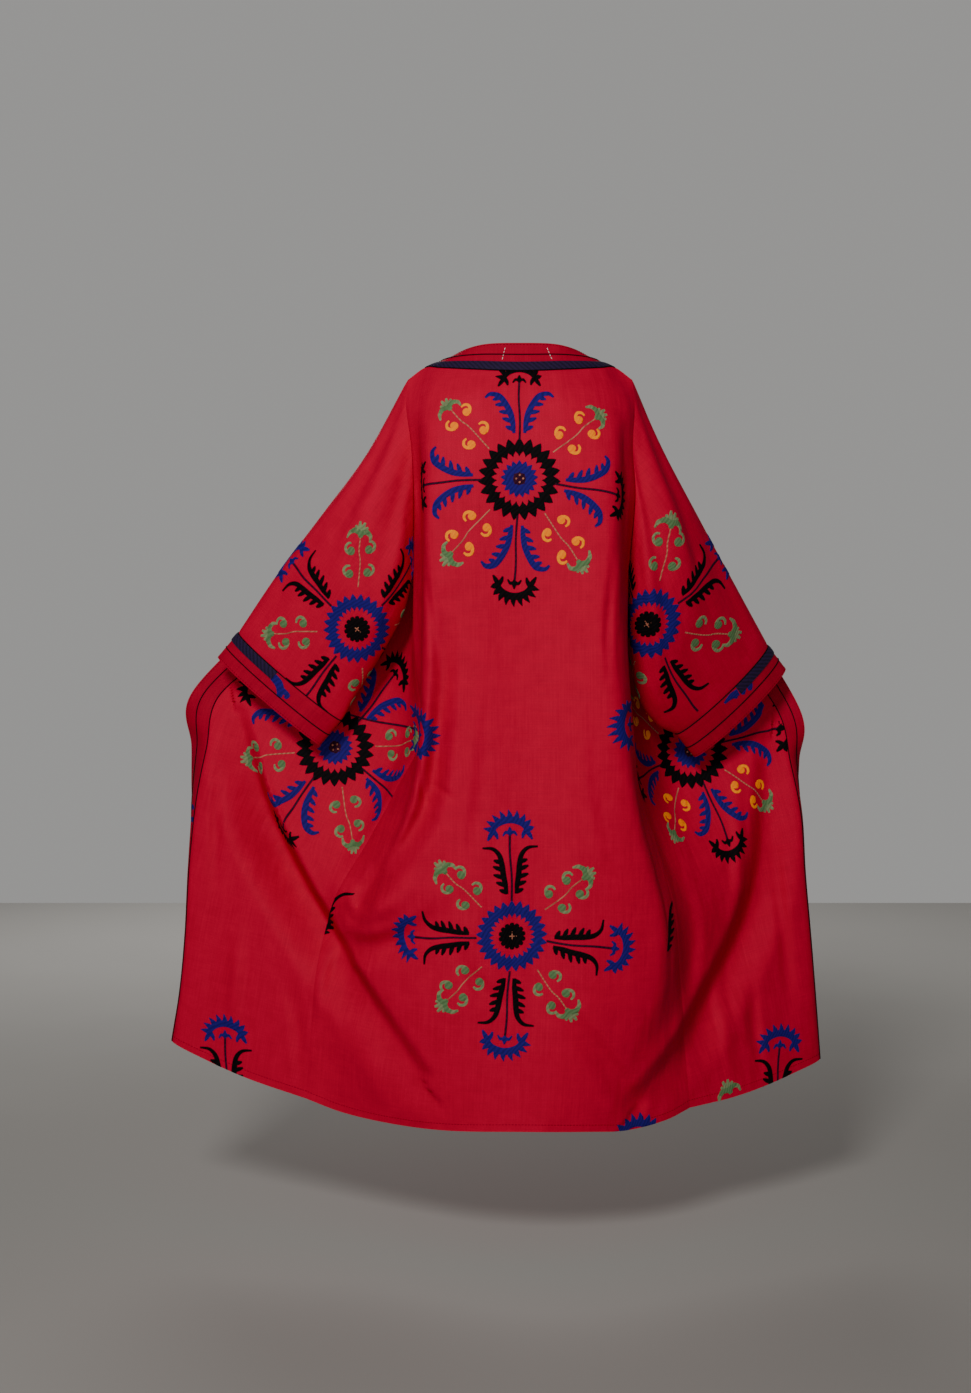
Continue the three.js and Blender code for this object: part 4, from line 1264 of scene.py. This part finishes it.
# ---- piping and stitches, made with geometry nodes ----
PIPING = {"inner": 25.0, "outer": 59.0}     # from a band's free edge
STITCH_LINE = 3.5           # top stitching runs this far from an edge
HEM_LINE, HEM_REACH = 14.0, 1330.0  # and this far above the hem, of the cloth above the hem
LABEL_REACH = (0.22, 0.56)  # share of the way down the neck band, from its free edge
LABEL_PLACES = (0.43, 0.62)
LABEL_LENGTH, LABEL_THREAD = 1.15, 1.6  # a label's stitches beside the top stitches
THREAD_LIFT, LABEL_LIFT = 0.2, 0.3
PIPING_LIFT = 0.4           # share of its radius by which piping's middle clears the cloth
ALONG = np.linspace(0, 1, 241)


def path_group(name, size_names, grow):
    """A geometry node group that grows something along a path, in one material."""
    tree = bpy.data.node_groups.new(name, "GeometryNodeTree")
    tree.interface.new_socket("Geometry", in_out="INPUT", socket_type="NodeSocketGeometry")
    for socket in size_names:
        tree.interface.new_socket(socket, in_out="INPUT", socket_type="NodeSocketFloat")
    tree.interface.new_socket("Material", in_out="INPUT", socket_type="NodeSocketMaterial")
    tree.interface.new_socket("Geometry", in_out="OUTPUT", socket_type="NodeSocketGeometry")
    inputs = add(tree, "NodeGroupInput")
    path = add(tree, "GeometryNodeMeshToCurve", {"Mesh": inputs})
    real = add(tree, "GeometryNodeRealizeInstances", {"Geometry": grow(tree, inputs, path)})
    dressed = add(tree, "GeometryNodeSetMaterial", {
        "Geometry": real, "Material": (inputs, "Material")})
    add(tree, "NodeGroupOutput", {"Geometry": dressed})
    return tree


def cord(tree, inputs, path):
    """A round cord along the path."""
    profile = add(tree, "GeometryNodeCurvePrimitiveCircle", {
        "Resolution": 8, "Radius": (inputs, "Radius")})
    return add(tree, "GeometryNodeCurveToMesh", {
        "Curve": path, "Profile Curve": profile, "Fill Caps": True})


def stitches(tree, inputs, path):
    """Short stitches of thread along the path, a pitch apart."""
    marks = add(tree, "GeometryNodeResampleCurve", {
        "Curve": path, "Length": (inputs, "Pitch")}, mode="LENGTH")
    run = add(tree, "GeometryNodeInputTangent")
    lay = add(tree, "FunctionNodeAlignRotationToVector", {"Vector": run}, axis="Z")
    bead = add(tree, "GeometryNodeMeshUVSphere", {"Segments": 6, "Rings": 4, "Radius": 0.5})
    size = add(tree, "ShaderNodeCombineXYZ", {
        "X": (inputs, "Thread"), "Y": (inputs, "Thread"), "Z": (inputs, "Length")})
    return add(tree, "GeometryNodeInstanceOnPoints", {
        "Points": marks, "Instance": bead, "Rotation": lay, "Scale": size})


def grown(name, paths, tree, material, slot, **values):
    """A piece grown by a node group along paths, each a list of points in millimetres."""
    edges, start = [], 0
    for path in paths:
        edges += [(start + i, start + i + 1) for i in range(len(path) - 1)]
        start += len(path)
    guide_mesh = bpy.data.meshes.new(name + "_path")
    guide_mesh.from_pydata([tuple(p) for p in np.concatenate(paths) * MM], edges, [])
    guide = linked(name + "_path", guide_mesh)
    modifier = guide.modifiers.new("grow", "NODES")
    modifier.node_group = tree
    for item in tree.interface.items_tree:
        if item.in_out == "INPUT" and item.name != "Geometry":
            modifier[item.identifier] = {"Material": material, **values}[item.name]
    bpy.context.view_layer.update()
    mesh = bpy.data.meshes.new_from_object(
        guide.evaluated_get(bpy.context.evaluated_depsgraph_get()))
    bpy.data.objects.remove(guide)
    bpy.data.meshes.remove(guide_mesh)
    mesh.name = name
    finish(linked(name, mesh), material)


def path_on(panel, down, over, lift):
    """A path on a panel at shares of the way down and across, one of them a single place."""
    return SURFACES[panel].patch_at(down, over, lift).reshape(-1, 3)


def band_lines(distance, lift):
    """Paths along every border band, a distance from its free edge."""
    share = distance / BAND
    yield "neck_band", path_on("neck_band", share, ALONG, lift)
    yield "front_band_left", path_on("front_band_left", ALONG, share, lift)
    yield "front_band_right", path_on("front_band_right", ALONG, 1 - share, lift)
    for name in ("cuff_band_left", "cuff_band_right"):
        yield name, path_on(name, 1 - share, ALONG, lift)


class ROBE_OT_trim(bpy.types.Operator):
    """Sew the piping along the bands, the top stitching and the label's stitches"""

    bl_idname = "robe.trim"
    bl_label = "Piping and stitches"

    def execute(self, context):
        size = sizes()
        # Each thread's darker colour is painted shade between its rows of stitches.
        dark = cached(chain_stitch, "black_chain_stitch", *THREADS["black"][1:])
        red = cached(chain_stitch, "red_sewing_thread", "#7c0014", "#5c000c")
        white = cached(chain_stitch, "white_sewing_thread", "#f2efe9", "#cfcbc2")
        tree = path_group("piping", ("Radius",), cord)
        for label, distance in PIPING.items():
            for band, path in band_lines(distance, size.piping / 2 / MM * PIPING_LIFT):
                grown(f"piping_{label}_{band}", [path], tree, dark, "black_thread",
                      Radius=size.piping / 2)
        tree = path_group("stitches", ("Pitch", "Length", "Thread"), stitches)
        hems = [(name, path_on(name, 1 - HEM_LINE / HEM_REACH, ALONG, THREAD_LIFT))
                for name in ("back_panel", "front_panel_left", "front_panel_right")]
        for panel, path in [*hems, *band_lines(STITCH_LINE, THREAD_LIFT)]:
            grown(f"stitches_{panel}", [path], tree, red, "red_cloth", Pitch=size.stitch_pitch,
                  Length=size.stitch_length, Thread=size.thread)
        rows = [path_on("neck_band", np.linspace(*LABEL_REACH, 12), over, LABEL_LIFT)
                for over in LABEL_PLACES]
        grown("stitches_label", rows, tree, white, "white_thread", Pitch=size.stitch_pitch,
              Length=size.stitch_length * LABEL_LENGTH, Thread=size.thread * LABEL_THREAD)
        return {"FINISHED"}


# ---- stage ----
SENSOR = 36                 # millimetres along the long side
FOCAL_PIXELS, PICTURE_HEIGHT = 2100, 1393
CAMERA_PLACE = (0.06, 3.675, -0.338)
CAMERA_TILT = 4.13          # degrees below level
FLOOR_WIDTH, FLOOR_DEPTH = 10, 7
WORLD_GREY, WORLD_GIVEN, WORLD_SHOWN = "#b9b8b6", 0.33, 0.68
LIGHTS_AIM = Vector((0, 0, -0.65))
LIGHTS = (("key", (0.9, 3.5, 1.7), 1.0), ("fill", (0.5, 3.9, -0.9), 1.6),
          ("front", (0.6, -3.4, 1.0), 2.4))     # name, place, size


def studio_world():
    """An even grey surround that shows brighter than the light it gives."""
    world = bpy.data.worlds.new("studio")
    world.use_nodes = True
    tree = world.node_tree
    tree.nodes.clear()
    ray = add(tree, "ShaderNodeLightPath")
    given, shown = (add(tree, "ShaderNodeBackground", {
        "Color": linear(WORLD_GREY), "Strength": strength})
        for strength in (WORLD_GIVEN, WORLD_SHOWN))
    mixed = add(tree, "ShaderNodeMixShader", {
        0: (ray, "Is Camera Ray"), 1: given, 2: shown})
    add(tree, "ShaderNodeOutputWorld", {"Surface": mixed})
    return world


class ROBE_OT_stage(bpy.types.Operator):
    """Make the floor, the lights and the camera"""

    bl_idname = "robe.stage"
    bl_label = "Stage"

    def execute(self, context):
        stage = context.scene.robe_stage
        corners = [(x * FLOOR_WIDTH / 2, y * FLOOR_DEPTH / 2, stage.floor_z)
                   for x, y in ((-1, -1), (1, -1), (1, 1), (-1, 1))]
        floor = mesh_object("floor", corners, [range(4)])
        floor.data.materials.append(painted_floor(
            "painted_floor", colours().floor, colours().floor_far_painted_light, stage.floor_z))
        for name, place, size in LIGHTS:
            light = bpy.data.lights.new(name + "_light", "AREA")
            light.shape, light.size, light.energy = "DISK", size, getattr(stage, name + "_power")
            lamp = linked(light.name, light)
            lamp.location = place
            lamp.rotation_euler = (LIGHTS_AIM - Vector(place)).to_track_quat("-Z", "Y").to_euler()
        context.scene.world = studio_world()
        camera = bpy.data.cameras.new("camera")
        camera.sensor_width = SENSOR
        camera.lens = SENSOR * FOCAL_PIXELS / PICTURE_HEIGHT
        context.scene.camera = holder = linked("camera", camera)
        holder.location = CAMERA_PLACE
        holder.rotation_euler = (math.radians(90 - CAMERA_TILT), 0, math.pi)
        return {"FINISHED"}


# ---- panel and start ----
OPERATORS = (ROBE_OT_body, ROBE_OT_sleeves, ROBE_OT_bands, ROBE_OT_braids,
             ROBE_OT_embroidery, ROBE_OT_trim, ROBE_OT_stage)


class ROBE_PT_panel(bpy.types.Panel):
    """Buttons for the robe's pieces"""

    bl_label = "Robe"
    bl_idname = "ROBE_PT_panel"
    bl_space_type = "VIEW_3D"
    bl_region_type = "UI"
    bl_category = "Robe"

    def draw(self, context):
        for operator in OPERATORS:
            self.layout.operator(operator.bl_idname)


GROUPS = {"robe_sizes": RobeSizes, "robe_colours": RobeColours, "robe_stage": RobeStage}


def register():
    for kind in (*GROUPS.values(), *OPERATORS, ROBE_PT_panel):
        bpy.utils.register_class(kind)
    for name, group in GROUPS.items():
        setattr(bpy.types.Scene, name, PointerProperty(type=group))


def unregister():
    for name in GROUPS:
        delattr(bpy.types.Scene, name)
    for kind in (ROBE_PT_panel, *OPERATORS[::-1], *GROUPS.values()):
        bpy.utils.unregister_class(kind)


def main():
    register()
    for operator in OPERATORS:
        group, name = operator.bl_idname.split(".")
        getattr(getattr(bpy.ops, group), name)()


if __name__ == "__main__":
    main()
